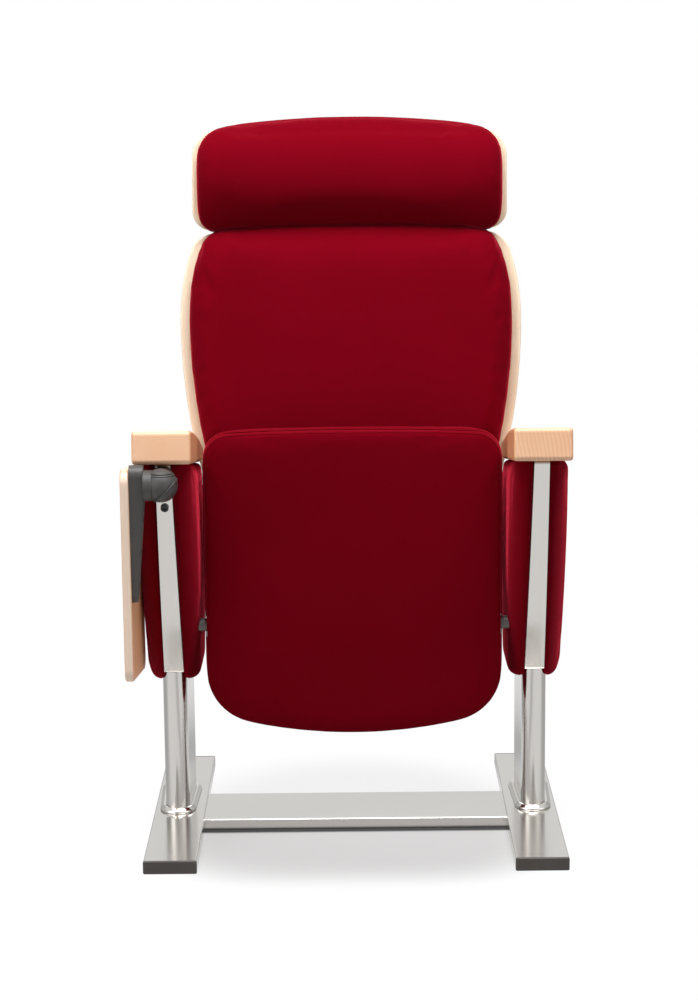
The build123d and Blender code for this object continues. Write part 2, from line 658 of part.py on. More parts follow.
def shell_cushion(outline, low, high, thick, thick_end):
    """A cushion on such a shell: fullest half-way up, thinner at its ends, with a round rim."""
    reach = (high - low) / 6
    bottom = low - reach
    top = high + reach
    back = Line((-SOFT_GAP, top), (-SOFT_GAP, bottom))
    front = ThreePointArc((-thick_end, bottom), (-thick, (low + high) / 2), (-thick_end, top))
    ends = [Line(back @ 1, front @ 0), Line(front @ 1, back @ 0)]
    profile = Plane.YZ * make_face(back.edges() + front.edges() + ends[0].edges() + ends[1].edges())
    axis = Axis((0, -SHELL_RADIUS, 0), (0, 0, 1))
    half_turn = degrees(asin(BACK_HALF_WIDTH * 1.1 / SHELL_RADIUS))
    sheet = revolve(profile, axis, revolution_arc=2 * half_turn).rotate(axis, -half_turn)
    pad = sheet & prism_y(outline, -SHELL_RADIUS / 4, SHELL_RADIUS / 4)
    rim = pad.faces().sort_by(Axis.Y)[0].edges()
    return fillet(rim, CUSHION_ROUND)


def on_shell(x, z, depth):
    """A place on a cylinder about the shells' axis, facing the rear, in the backrest's frame."""
    radius = SHELL_RADIUS + depth
    turn = asin(x / radius)
    origin = (radius * sin(turn), radius * cos(turn) - SHELL_RADIUS, z)
    return facing(origin, (sin(turn), cos(turn), 0))


def shell_strip(x0, x1, z0, z1, steel):
    """A strip of steel curved to lie on the shells' rear face, in the backrest's frame."""
    inner = SHELL_RADIUS + SHELL_THICKNESS + BRACKET_SEAT
    ring = Pos(0, -SHELL_RADIUS) * (Circle(inner + steel) - Circle(inner))
    plan = ring & Pos((x0 + x1) / 2, 0) * Rectangle(x1 - x0, SHELL_RADIUS / 2)
    return prism_z(plan, z0, z1)


def back_bracket_shell_places():
    """Heads of the screws that hold a back bracket to the shell, in the backrest's frame."""
    depth = SHELL_THICKNESS + BRACKET_SEAT + BACK_BRACKET_STEEL
    z = (BACK_BRACKET_TOP + BACK_BRACKET_BOTTOM) / 2
    return [on_shell(BACK_BRACKET_INNER_X + step, z, depth) for step in BACK_BRACKET_SCREW_STEPS]


def head_bracket_places():
    """Heads of the screws of a head bracket, in the backrest's frame."""
    depth = SHELL_THICKNESS + BRACKET_SEAT + HEAD_BRACKET_STEEL
    joint = BACK_TOP + HEAD_GAP / 2
    heights = [joint + side * step for side in (-1, 1) for step in HEAD_BRACKET_SCREW_STEPS]
    return [on_shell(HEAD_BRACKET_X, z, depth) for z in heights]


BACK_SHELL_SCREW = BACK_BRACKET_STEEL + BRACKET_SEAT + SHELL_THICKNESS * 0.75
HEAD_SHELL_SCREW = HEAD_BRACKET_STEEL + BRACKET_SEAT + SHELL_THICKNESS * 0.75


def back_shell():
    board = shell(back_outline())
    for hole, places in (
        (screw_hole(BACK_SHELL_SCREW), back_bracket_shell_places()),
        (screw_hole(HEAD_SHELL_SCREW), head_bracket_places()),
    ):
        for place in places:
            board = board - hole.moved(place) - mirrored(hole.moved(place))
    return in_back_plane(board)


def head_shell():
    board = shell(head_outline())
    hole = screw_hole(HEAD_SHELL_SCREW)
    for place in head_bracket_places():
        board = board - hole.moved(place) - mirrored(hole.moved(place))
    return in_back_plane(board)


def back_cushion():
    outline = back_outline(
        BACK_MARGIN, -BACK_CUSHION_RISE, CUSHION_END_INSET, BACK_CUSHION_CORNER
    )
    return in_back_plane(
        shell_cushion(outline, BACK_BOTTOM, BACK_TOP, BACK_CUSHION, BACK_CUSHION_END)
    )


def head_cushion():
    fall = HEAD_GAP - BACK_CUSHION_RISE - CUSHION_PARTING
    outline = head_outline(HEAD_MARGIN, CUSHION_END_INSET, -fall, HEAD_CUSHION_CORNER)
    return in_back_plane(
        shell_cushion(outline, BACK_TOP, HEAD_TOP, HEAD_CUSHION, HEAD_CUSHION_END)
    )


def back_bracket():
    """Bent strip from the hoop's rear bar, round the backrest's edge, to the shell's rear face."""
    steel = BACK_BRACKET_STEEL
    foot = shell_strip(
        BACK_BRACKET_INNER_X, BACK_BRACKET_WEB_X, BACK_BRACKET_BOTTOM, BACK_BRACKET_TOP, steel
    )
    foot = cut(foot, screw_hole(BACK_SHELL_SCREW), back_bracket_shell_places())
    foot = in_back_plane(foot)
    low, high = BACK_BRACKET_LOW_Z, BACK_BRACKET_HIGH_Z
    outer_x = SIDE_X + HOOP_WIDTH_TOP / 2
    web_x = BACK_BRACKET_WEB_X - steel
    plate = block(web_x, outer_x, HOOP_REAR_Y, HOOP_REAR_Y + steel, low, high)
    plate = cut(plate, screw_hole(BRACKET_HOOP_SCREW), bracket_hoop_places())
    web_end = foot.bounding_box().max.Y - SHELL_THICKNESS - steel
    web = block(web_x, BACK_BRACKET_WEB_X, HOOP_REAR_Y, web_end, low, high)
    return foot + web + plate


def back_bracket_screws():
    shell_screw = screw(BACK_SHELL_SCREW)
    on_back = [in_back_plane(shell_screw.moved(p)) for p in back_bracket_shell_places()]
    on_hoop = [screw(BRACKET_HOOP_SCREW).moved(p) for p in bracket_hoop_places()]
    return both_sides(group(*on_back, *on_hoop))


def head_bracket():
    half = HEAD_BRACKET_WIDTH / 2
    joint = BACK_TOP + HEAD_GAP / 2
    strip = shell_strip(
        HEAD_BRACKET_X - half,
        HEAD_BRACKET_X + half,
        joint - HEAD_BRACKET_OVERLAP,
        joint + HEAD_BRACKET_OVERLAP,
        HEAD_BRACKET_STEEL,
    )
    return in_back_plane(cut(strip, screw_hole(HEAD_SHELL_SCREW), head_bracket_places()))


def head_bracket_screws():
    one = screw(HEAD_SHELL_SCREW)
    return both_sides(group(*[in_back_plane(one.moved(p)) for p in head_bracket_places()]))


# ---------------------------------------------------------------- seat
def seat_outline(inset=0.0):
    """Front view of the tipped-up seat: nearly straight top, rounder bottom."""
    width = Pos(0, (SEAT_TOP_Z + SEAT_BOTTOM_Z) / 2) * Rectangle(
        2 * (SEAT_HALF_WIDTH - inset), 2 * SEAT_TOP_Z
    )
    top = Pos(0, SEAT_TOP_Z - SEAT_TOP_RADIUS) * Circle(SEAT_TOP_RADIUS - inset)
    bottom = Pos(0, SEAT_BOTTOM_Z + SEAT_BOTTOM_RADIUS) * Circle(SEAT_BOTTOM_RADIUS - inset)
    face = (width & top & bottom).face()
    corners = face.vertices().sort_by(Axis.Y)
    face = fillet(corners[:2], SEAT_BOTTOM_CORNER - inset)
    return fillet(face.vertices().sort_by(Axis.Y)[-2:], SEAT_TOP_CORNER - inset)


def seat_board():
    board = prism_y(seat_outline(BOARD_INSET), BOARD_UNDERSIDE_Y, BOARD_TOP_Y)
    notch = block(
        STUB_END_X - SOFT_GAP,
        SEAT_HALF_WIDTH,
        BOARD_UNDERSIDE_Y,
        BOARD_TOP_Y,
        PIVOT_Z - HOUSING_RADIUS - SOFT_GAP,
        PIVOT_Z + HOUSING_RADIUS + SOFT_GAP,
    )
    board = board - notch - mirrored(notch)
    hole = screw_hole(WING_SCREW)
    for place in wing_screw_places():
        board = board - hole.moved(place) - mirrored(hole.moved(place))
    return board


def pivot_pocket():
    """Space in the seat's padding for one pivot housing, its wing and the wing's screw heads."""
    wing_low = PIVOT_Z - WING_HEIGHT / 2
    wing_high = PIVOT_Z + WING_HEIGHT / 2
    pocket = rod_x(HOUSING_RADIUS + SOFT_GAP, STUB_END_X - SOFT_GAP, SEAT_HALF_WIDTH + 1)
    pocket += block(
        HOUSING_INNER_X - WING_LENGTH - SOFT_GAP,
        HOUSING_OUTER_X + SOFT_GAP,
        BOARD_UNDERSIDE_Y - WING_THICKNESS - SOFT_GAP,
        BOARD_UNDERSIDE_Y + SOFT_GAP,
        wing_low - SOFT_GAP,
        wing_high + SOFT_GAP,
    )
    heads = WING_THICKNESS + SCREW_HEAD + SOFT_GAP
    return pocket + block(
        HOUSING_INNER_X - WING_LENGTH - SOFT_GAP,
        HOUSING_INNER_X - SOFT_GAP,
        BOARD_UNDERSIDE_Y - heads,
        BOARD_UNDERSIDE_Y,
        wing_low - SOFT_GAP,
        wing_high + SOFT_GAP,
    )


def seat_underside_pad():
    """The padded underside, which faces forwards when the seat is tipped up."""
    back_y = BOARD_UNDERSIDE_Y - SOFT_GAP
    middle_z = (SEAT_TOP_Z + SEAT_BOTTOM_Z) / 2
    crown = Pos(0, SEAT_UNDERSIDE_Y + SEAT_CROWN_RADIUS, middle_z) * Sphere(SEAT_CROWN_RADIUS)
    pad = prism_y(seat_outline(), 2 * SEAT_UNDERSIDE_Y, back_y) & crown
    faces = pad.faces().sort_by(Axis.Y)
    pad = fillet(faces[0].edges(), SEAT_UNDERSIDE_ROUND)
    pad = fillet(pad.faces().sort_by(Axis.Y)[-1].edges(), SEAT_SEAM_ROUND)
    return pad - pivot_pocket() - mirrored(pivot_pocket())


def seat_cushion():
    """The sitting cushion, with a recess for the board."""
    middle_z = (SEAT_TOP_Z + SEAT_BOTTOM_Z) / 2
    crown = Pos(0, SEAT_SURFACE_Y - SEAT_CROWN_RADIUS, middle_z) * Sphere(SEAT_CROWN_RADIUS)
    pad = prism_y(seat_outline(), BOARD_UNDERSIDE_Y, 2 * SEAT_SURFACE_Y) & crown
    faces = pad.faces().sort_by(Axis.Y)
    pad = fillet(faces[-1].edges(), SEAT_SURFACE_ROUND)
    pad = fillet(pad.faces().sort_by(Axis.Y)[0].edges(), SEAT_SEAM_ROUND)
    recess = seat_outline(BOARD_INSET - SOFT_GAP)
    pad = pad - prism_y(recess, 2 * BOARD_UNDERSIDE_Y, BOARD_TOP_Y + SOFT_GAP)
    return pad - pivot_pocket() - mirrored(pivot_pocket())


# ---------------------------------------------------------------- seat pivot
def polar(radius, angle):
    """A point round the pivot in side view: angles run from +Y towards +Z, in degrees."""
    turn = radians(angle)
    return (PIVOT_Y + radius * cos(turn), PIVOT_Z + radius * sin(turn))


def sector(inner, outer, start, end):
    """A ring sector round the pivot in side view."""
    middle = (start + end) / 2
    outer_arc = ThreePointArc(polar(outer, start), polar(outer, middle), polar(outer, end))
    inner_arc = ThreePointArc(polar(inner, end), polar(inner, middle), polar(inner, start))
    sides = [Line(outer_arc @ 1, inner_arc @ 0), Line(inner_arc @ 1, outer_arc @ 0)]
    edges = outer_arc.edges() + inner_arc.edges() + sides[0].edges() + sides[1].edges()
    return make_face(edges)


CAM_HIGH = CAM_REST_ANGLE + CAM_HALF_ANGLE + STOP_ANGLE
CAM_LOW = CAM_REST_ANGLE - SEAT_TIP - CAM_HALF_ANGLE - STOP_ANGLE
WING_SCREW = WING_THICKNESS + WING_SCREW_BITE


def pivot_stub():
    """Flange, collar and shaft, fixed to the side panel: the seat turns on the shaft."""
    stub = rod_x(STUB_FLANGE_RADIUS, CORE_FACE_X - STUB_FLANGE, CORE_FACE_X)
    stub += rod_x(STUB_COLLAR_RADIUS, SHOULDER_X, CORE_FACE_X)
    stub += rod_x(STUB_RADIUS, STUB_END_X, SHOULDER_X)
    groove = rod_x(STUB_RADIUS, RING_X - RING_THICKNESS - SEAT_GAP, RING_X + SEAT_GAP)
    stub -= groove - rod_x(STUB_RADIUS - 1, STUB_END_X, SHOULDER_X)
    return cut(stub, screw_hole(STUB_SCREW), stub_screw_places())


def stub_screws():
    return both_sides(group(*[screw(STUB_SCREW).moved(p) for p in stub_screw_places()]))


def retaining_ring():
    """Open ring in the stub's groove, which keeps the housing on."""
    ring = rod_x(STUB_RADIUS - 1 + RING_REACH, RING_X - RING_THICKNESS, RING_X)
    ring -= rod_x(STUB_RADIUS - 1 + SEAT_GAP, STUB_END_X, SHOULDER_X)
    half = RING_MOUTH / 2
    mouth = block(STUB_END_X, SHOULDER_X, PIVOT_Y - half, PIVOT_Y + half, 0, PIVOT_Z)
    return ring - mouth


def stop_cam():
    """Cam keyed on the stub: its lug meets a rubber bumper at each end of the seat's travel."""
    high = CAM_REST_ANGLE + CAM_HALF_ANGLE
    low = CAM_REST_ANGLE - CAM_HALF_ANGLE
    outline = Pos(PIVOT_Y, PIVOT_Z) * Circle(CAM_HUB_RADIUS)
    outline += sector(STUB_RADIUS, CAM_REACH, low, high)
    outline -= Pos(PIVOT_Y, PIVOT_Z) * Circle(STUB_RADIUS + SEAT_GAP)
    return prism_x(outline, CAM_X + STOP_GAP, CAM_X + CAM_CHAMBER - STOP_GAP)


def stop_bumpers():
    inner = CAM_HUB_RADIUS + STOP_GAP + SEAT_GAP
    outer = CHAMBER_RADIUS - SEAT_GAP
    x0 = CAM_X + SEAT_GAP
    x1 = CAM_X + CAM_CHAMBER - SEAT_GAP
    upper = sector(inner, outer, CAM_HIGH, CAM_HIGH + BUMPER_ANGLE)
    lower = sector(inner, outer, CAM_LOW - BUMPER_ANGLE, CAM_LOW)
    return both_sides(group(prism_x(upper, x0, x1), prism_x(lower, x0, x1)))


def pivot_housing():
    """Cast housing with a cam chamber, a spring chamber and a wing that is screwed to the board."""
    body = rod_x(HOUSING_RADIUS, HOUSING_INNER_X, HOUSING_OUTER_X)
    body += block(
        HOUSING_INNER_X - WING_LENGTH,
        HOUSING_OUTER_X,
        BOARD_UNDERSIDE_Y - WING_THICKNESS,
        BOARD_UNDERSIDE_Y,
        PIVOT_Z - WING_HEIGHT / 2,
        PIVOT_Z + WING_HEIGHT / 2,
    )
    body -= rod_x(CHAMBER_RADIUS, SPRING_X, CAM_X)
    body -= rod_x(CAM_HUB_RADIUS + STOP_GAP, SPRING_X, CAM_X + CAM_CHAMBER)
    travel = sector(
        STUB_RADIUS,
        CHAMBER_RADIUS,
        CAM_LOW - BUMPER_ANGLE - SEAT_GAP,
        CAM_HIGH + BUMPER_ANGLE + SEAT_GAP,
    )
    body -= prism_x(travel, CAM_X, CAM_X + CAM_CHAMBER)
    body -= rod_x(STUB_RADIUS + BUSH_WALL + SEAT_GAP, HOUSING_INNER_X, HOUSING_OUTER_X)
    tail = STUB_RADIUS + BUSH_WALL + BUSH_FLANGE_REACH + STOP_GAP
    body -= rod_x(tail, STUB_END_X - SOFT_GAP, HOUSING_INNER_X)
    return cut(body, screw_hole(WING_SCREW), wing_screw_places())


def wing_screw_places():
    """Heads of the screws in a housing's wing."""
    y = BOARD_UNDERSIDE_Y - WING_THICKNESS
    xs = [HOUSING_INNER_X - WING_LENGTH * share for share in (0.3, 0.78)]
    zs = [PIVOT_Z - WING_HEIGHT * 0.3, PIVOT_Z + WING_HEIGHT * 0.3]
    return [facing((x, y, z), (0, -1, 0)) for x in xs for z in zs]


def wing_screws():
    return both_sides(group(*[screw(WING_SCREW).moved(p) for p in wing_screw_places()]))


def pivot_bushes():
    """A flanged bush in each end wall of each housing."""
    bore = STUB_RADIUS + RUNNING_GAP
    barrel = STUB_RADIUS + BUSH_WALL
    flange = barrel + BUSH_FLANGE_REACH
    outer = rod_x(barrel, HOUSING_OUTER_X - HOUSING_WALL, HOUSING_OUTER_X)
    outer += rod_x(flange, HOUSING_OUTER_X, HOUSING_OUTER_X + BUSH_FLANGE)
    inner = rod_x(barrel, HOUSING_INNER_X, HOUSING_INNER_X + HOUSING_WALL)
    inner += rod_x(flange, HOUSING_INNER_X - BUSH_FLANGE, HOUSING_INNER_X)
    hole = rod_x(bore, STUB_END_X, SHOULDER_X)
    return both_sides(group(outer - hole, inner - hole))


def return_spring():
    """Torsion spring round the stub, one unbroken wire: half turns of two arcs each, two legs."""
    length = CAM_X - SPRING_X - SPRING_WIRE - 2 * SPRING_END
    rise = length / SPRING_HALF_TURNS
    start_x = SPRING_X + SPRING_END + SPRING_WIRE / 2
    slant = sqrt((pi * SPRING_RADIUS) ** 2 + rise**2)

    def point(half_turns):
        y, z = polar(SPRING_RADIUS, 180 * half_turns)
        return Vector(start_x + rise * half_turns, y, z)

    def along(half_turns):
        turn = pi * half_turns
        ring = pi * SPRING_RADIUS / slant
        return Vector(rise / slant, -ring * sin(turn), ring * cos(turn))

    edges = [Line(point(0) - along(0) * SPRING_LEG, point(0)).edge()]
    for step in range(SPRING_HALF_TURNS):
        start, end = point(step), point(step + 1)
        leaving, arriving = along(step), along(step + 1)
        across = end - start
        a = 2 * (1 - leaving.dot(arriving))
        b = 2 * across.dot(leaving + arriving)
        reach = (-b + sqrt(b * b + 4 * a * across.dot(across))) / (2 * a)
        joint = (start + end + (leaving - arriving) * reach) * 0.5
        edges.append(TangentArc(start, joint, tangent=leaving).edge())
        second = TangentArc(joint, end, tangent=-arriving, tangent_from_first=False)
        edges.append(second.edge())
    last = SPRING_HALF_TURNS
    edges.append(Line(point(last), point(last) + along(last) * SPRING_LEG).edge())
    wire = Wire(edges)
    section = Plane(origin=wire @ 0, z_dir=wire % 0) * Circle(SPRING_WIRE / 2)
    return sweep(section, path=wire)


# ---------------------------------------------------------------- writing tablet
def tablet_board():
    """Beech writing board beside the right panel: its ends are cut along the armrest's slope."""
    top = KNUCKLE_Z + TABLET_RISE
    fall = TABLET_DEPTH * tan(SLOPE)
    rear_y = TABLET_FRONT_Y + TABLET_DEPTH
    outline = make_face(
        Polyline(
            (TABLET_FRONT_Y, top),
            (rear_y, top - fall),
            (rear_y, top - fall - TABLET_HEIGHT),
            (TABLET_FRONT_Y, top - TABLET_HEIGHT),
            close=True,
        )
    )
    outline = fillet(outline.vertices(), TABLET_CORNER)
    board = prism_x(outline, -TABLET_INNER_X - TABLET_THICKNESS, -TABLET_INNER_X)
    faces = board.faces().sort_by(Axis.X)
    board = fillet(faces[0].edges() + faces[-1].edges(), TABLET_EDGE)
    return cut(board, screw_hole(TABLET_SCREW), tablet_screw_places())


def tablet_arm_inner_x():
    """The arm's inner face, where the knuckle's neck is fixed."""
    return -TABLET_INNER_X + TABLET_ARM_THICKNESS


def tablet_screw_places():
    """Heads of the screws that hold the board, sunk in the arm."""
    x = -TABLET_INNER_X + TABLET_SCREW_WEB
    y = TABLET_FRONT_Y + TABLET_ARM_SETBACK + TABLET_ARM_WIDTH / 2
    return [facing((x, y, KNUCKLE_Z - drop), (1, 0, 0)) for drop in TABLET_SCREW_DROPS]


TABLET_SCREW = TABLET_SCREW_WEB + TABLET_SCREW_BITE
NECK_SCREW = TABLET_ARM_THICKNESS - NECK_SCREW_HEAD - SOFT_GAP + NECK_SCREW_BITE


def neck_screw_place():
    """Head of the screw that ties the arm to the knuckle, sunk in the arm's outer face."""
    x = -TABLET_INNER_X + NECK_SCREW_HEAD + SOFT_GAP
    return facing((x, KNUCKLE_Y, KNUCKLE_Z), (-1, 0, 0))


def tablet_arm():
    """Moulded arm: a round hub at the knuckle, tapering both ways to its tip."""
    top_radius = TABLET_ARM_WIDTH / 2
    tip_radius = TABLET_ARM_TIP_WIDTH / 2
    middle_y = TABLET_FRONT_Y + TABLET_ARM_SETBACK + top_radius
    bottom_z = TABLET_ARM_TOP_Z - TABLET_ARM_LENGTH
    hub = Pos(middle_y, TABLET_ARM_TOP_Z - top_radius) * Circle(top_radius)
    tip = Pos(middle_y, bottom_z + tip_radius) * Circle(tip_radius)
    side = make_hull(hub.edges() + tip.edges())
    arm = prism_x(side, -TABLET_INNER_X, tablet_arm_inner_x())
    knee_z = TABLET_ARM_TOP_Z - TABLET_ARM_FLAT
    wedge = Polyline(
        (-TABLET_INNER_X, bottom_z),
        (-TABLET_INNER_X + TABLET_ARM_TIP_THICKNESS, bottom_z),
        (tablet_arm_inner_x(), knee_z),
        (tablet_arm_inner_x(), TABLET_ARM_TOP_Z),
        (-TABLET_INNER_X, TABLET_ARM_TOP_Z),
        close=True,
    )
    arm &= prism_y(make_face(wedge), 2 * ARM_FRONT_Y, 0)
    inner_rim = [e for e in arm.edges() if e.bounding_box().min.X > -TABLET_INNER_X + 1]
    arm = fillet(inner_rim, TABLET_ARM_EDGE)
    arm = cut(arm, screw_hole(TABLET_SCREW), tablet_screw_places())
    sink = Pos(0, 0, TABLET_ARM_THICKNESS / 2) * Cylinder(
        SCREW_HEAD_RADIUS + SOFT_GAP, TABLET_ARM_THICKNESS
    )
    arm = cut(arm, sink, tablet_screw_places())
    arm = cut(arm, screw_hole(NECK_SCREW, NECK_SCREW_RADIUS), [neck_screw_place()])
    neck_sink = Pos(0, 0, TABLET_ARM_THICKNESS / 2) * Cylinder(
        NECK_SCREW_HEAD_RADIUS + SOFT_GAP, TABLET_ARM_THICKNESS
    )
    return cut(arm, neck_sink, [neck_screw_place()])


def tablet_arm_screws():
    small = [screw(TABLET_SCREW).moved(p) for p in tablet_screw_places()]
    big = screw(NECK_SCREW, NECK_SCREW_RADIUS, NECK_SCREW_HEAD_RADIUS, NECK_SCREW_HEAD)
    return group(*small, big.moved(neck_screw_place()))


def knuckle_slab(low, high):
    """Space between two planes across the knuckle's axis."""
    wide = 6 * KNUCKLE_RADIUS
    slab = Pos(0, 0, (low + high) / 2) * Box(wide, wide, high - low)
    return slab.moved(KNUCKLE_PLANE.location)


def knuckle_round(radius, low, high):
    """A round bar on the knuckle's axis."""
    bar = Pos(0, 0, (low + high) / 2) * Cylinder(radius, high - low)
    return bar.moved(KNUCKLE_PLANE.location)


def knuckle_ball(grow=0.0):
    return Sphere(KNUCKLE_RADIUS + grow).moved(KNUCKLE_PLANE.location)


def neck(grow=0.0):
    """The neck that joins the turning half of the knuckle to the arm, at rest."""
    start = -SIDE_X - KNUCKLE_RADIUS / 2
    return rod_x(NECK_RADIUS + grow, tablet_arm_inner_x(), start, KNUCKLE_Y, KNUCKLE_Z)


def knuckle_rotor():
    """The turning half of the knuckle."""
    rotor = knuckle_ball() & knuckle_slab(-KNUCKLE_PARTING, 2 * KNUCKLE_RADIUS)
    rotor += neck() & knuckle_slab(-KNUCKLE_PARTING, 3 * KNUCKLE_RADIUS)
    rotor -= knuckle_round(
        KNUCKLE_PIN_RADIUS + RUNNING_GAP, -KNUCKLE_PARTING, KNUCKLE_PIN_REACH + STOP_GAP
    )
    return cut(rotor, screw_hole(NECK_SCREW, NECK_SCREW_RADIUS), [neck_screw_place()])


def knuckle_socket():
    """The fixed half of the knuckle, with a lug that seats on the front strap."""
    cap = knuckle_ball() & knuckle_slab(-2 * KNUCKLE_RADIUS, -PARTING_LOW)
    middle_z = KNUCKLE_Z + (LUG_RISE - LUG_DROP) / 2
    section = Pos(-SIDE_X, middle_z) * RectangleRounded(
        LUG_WIDTH, LUG_RISE + LUG_DROP, LUG_EDGE
    )
    lug = prism_y(section, KNUCKLE_Y + LUG_START, HOOP_FOOT_Y)
    lug -= mirrored(prism_x(panel_outline(-SEAT_GAP), SIDE_X - ARM_WIDTH, SIDE_X + ARM_WIDTH))
    swept = knuckle_ball(KNUCKLE_CLEARANCE) & knuckle_slab(-PARTING_LOW, 2 * KNUCKLE_RADIUS)
    raised = prism_z(
        Pos(-SIDE_X, KNUCKLE_Y) * Circle(NECK_RADIUS + KNUCKLE_CLEARANCE),
        KNUCKLE_Z,
        KNUCKLE_Z + 2 * KNUCKLE_RADIUS,
    )
    socket = cap + (lug - swept - raised)
    socket = max(socket.solids(), key=lambda solid: solid.volume)
    socket -= knuckle_round(KNUCKLE_PIN_RADIUS + SEAT_GAP, -KNUCKLE_PIN_ROOT, -KNUCKLE_PARTING)
    for place in lug_screw_places():
        socket -= mirrored(screw_hole(LUG_SCREW).moved(place))
    return socket


def knuckle_pin():
    return knuckle_round(KNUCKLE_PIN_RADIUS, -KNUCKLE_PIN_ROOT + SEAT_GAP, KNUCKLE_PIN_REACH)


def knuckle_washer():
    """Friction washer between the two halves."""
    low = -PARTING_LOW + SEAT_GAP
    high = -KNUCKLE_PARTING - RUNNING_GAP
    ring = knuckle_round(WASHER_RADIUS, low, high)
    return ring - knuckle_round(KNUCKLE_PIN_RADIUS + RUNNING_GAP, low, high)


def tablet_mount_screws():
    """Two screws from behind into the socket's lug, and the black one on the strap's face."""
    hidden = [mirrored(screw(LUG_SCREW).moved(p)) for p in lug_screw_places()]
    shown = screw(STRAP_SCREW, STRAP_SCREW_RADIUS, STRAP_SCREW_HEAD_RADIUS, STRAP_SCREW_HEAD)
    return group(*hidden, mirrored(shown.moved(strap_place(STRAP_SCREW_Z))))


def armrest_screws():
    return both_sides(group(*[screw(ARM_SCREW).moved(p) for p in arm_screw_places()]))


# ---------------------------------------------------------------- all nodes
PAIRS = {
    "runner": runner,
    "column": column,
    "column_weld": column_weld,
    "inner_pad": inner_pad,
    "outer_pad": outer_pad,
    "armrest": armrest,
    "back_bracket": back_bracket,
    "head_bracket": head_bracket,
    "pivot_stub": pivot_stub,
    "stop_cam": stop_cam,
    "pivot_housing": pivot_housing,
    "return_spring": return_spring,
}
SINGLES = {
    "left_hoop": hoop,
    "right_hoop": tablet_side_hoop,
    "left_panel_core": panel_core,
    "right_panel_core": tablet_side_core,
    "runner_end_caps": runner_caps,
    "crossbar": crossbar,
    "armrest_screws": armrest_screws,
    "back_shell": back_shell,
    "back_cushion": back_cushion,
    "head_shell": head_shell,
    "head_cushion": head_cushion,
    "back_bracket_screws": back_bracket_screws,
    "head_bracket_screws": head_bracket_screws,
    "seat_board": seat_board,
    "seat_cushion": seat_cushion,
    "seat_underside_pad": seat_underside_pad,
    "stub_screws": stub_screws,
    "retaining_rings": lambda: both_sides(retaining_ring()),
    "pivot_bushes": pivot_bushes,
    "stop_bumpers": stop_bumpers,
    "wing_screws": wing_screws,
    "tablet_board": tablet_board,
    "tablet_arm": tablet_arm,
    "tablet_arm_screws": tablet_arm_screws,
    "knuckle_rotor": knuckle_rotor,
    "knuckle_socket": knuckle_socket,
    "knuckle_pin": knuckle_pin,
    "knuckle_washer": knuckle_washer,
    "backing_plate": backing_plate,
    "tablet_mount_screws": tablet_mount_screws,
}

if __name__ == "__main__":
    os.makedirs("parts", exist_ok=True)
    for name, make in PAIRS.items():
        piece = make()
        export_step(piece, f"parts/left_{name}.step")
        export_step(mirrored(piece), f"parts/right_{name}.step")
    for name, make in SINGLES.items():
        export_step(make(), f"parts/{name}.step")
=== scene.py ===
import math

import bmesh
import bpy
import numpy as np
from mathutils import Matrix, Vector
from mathutils.bvhtree import BVHTree
from mathutils.geometry import convex_hull_2d


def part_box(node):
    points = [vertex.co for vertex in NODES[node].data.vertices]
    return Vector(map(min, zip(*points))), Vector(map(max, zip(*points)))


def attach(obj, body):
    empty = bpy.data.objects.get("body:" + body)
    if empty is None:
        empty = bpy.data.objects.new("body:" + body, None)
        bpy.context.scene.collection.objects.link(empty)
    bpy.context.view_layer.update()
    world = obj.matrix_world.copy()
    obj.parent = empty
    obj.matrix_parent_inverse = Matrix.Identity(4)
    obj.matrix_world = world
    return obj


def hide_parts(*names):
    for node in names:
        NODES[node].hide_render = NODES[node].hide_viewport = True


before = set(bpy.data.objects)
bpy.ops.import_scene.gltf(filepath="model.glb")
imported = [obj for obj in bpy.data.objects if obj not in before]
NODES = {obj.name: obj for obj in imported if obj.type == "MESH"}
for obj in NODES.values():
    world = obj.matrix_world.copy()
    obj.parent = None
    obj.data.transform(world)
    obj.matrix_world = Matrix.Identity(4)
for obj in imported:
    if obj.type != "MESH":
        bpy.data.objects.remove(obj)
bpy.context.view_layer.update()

# Lengths are in metres. Z is up, the sitter faces -Y and the origin is on the floor.
# ------------------------------------------------------------------ the photograph's camera
FOCAL_PX = 2402.4
PICTURE_HEIGHT_PX = 1000
SENSOR_MM = 36.0
CAMERA_AT = (-0.005, -3.645, 1.242)
PITCH_DOWN = 11.33
YAW = 0.01
ROLL = -0.55
VIEW_END = 60.0


def make_camera():
    data = bpy.data.cameras.new("camera")
    data.sensor_fit = "VERTICAL"
    data.sensor_height = SENSOR_MM
    data.lens = FOCAL_PX / PICTURE_HEIGHT_PX * SENSOR_MM
    data.clip_end = VIEW_END
    cam = bpy.data.objects.new("camera", data)
    bpy.context.scene.collection.objects.link(cam)
    turn = Matrix.Rotation(math.radians(YAW), 4, "Z")
    turn @= Matrix.Rotation(math.radians(90 - PITCH_DOWN), 4, "X")
    turn @= Matrix.Rotation(math.radians(ROLL), 4, "Z")
    cam.matrix_world = Matrix.Translation(CAMERA_AT) @ turn
    bpy.context.scene.camera = cam


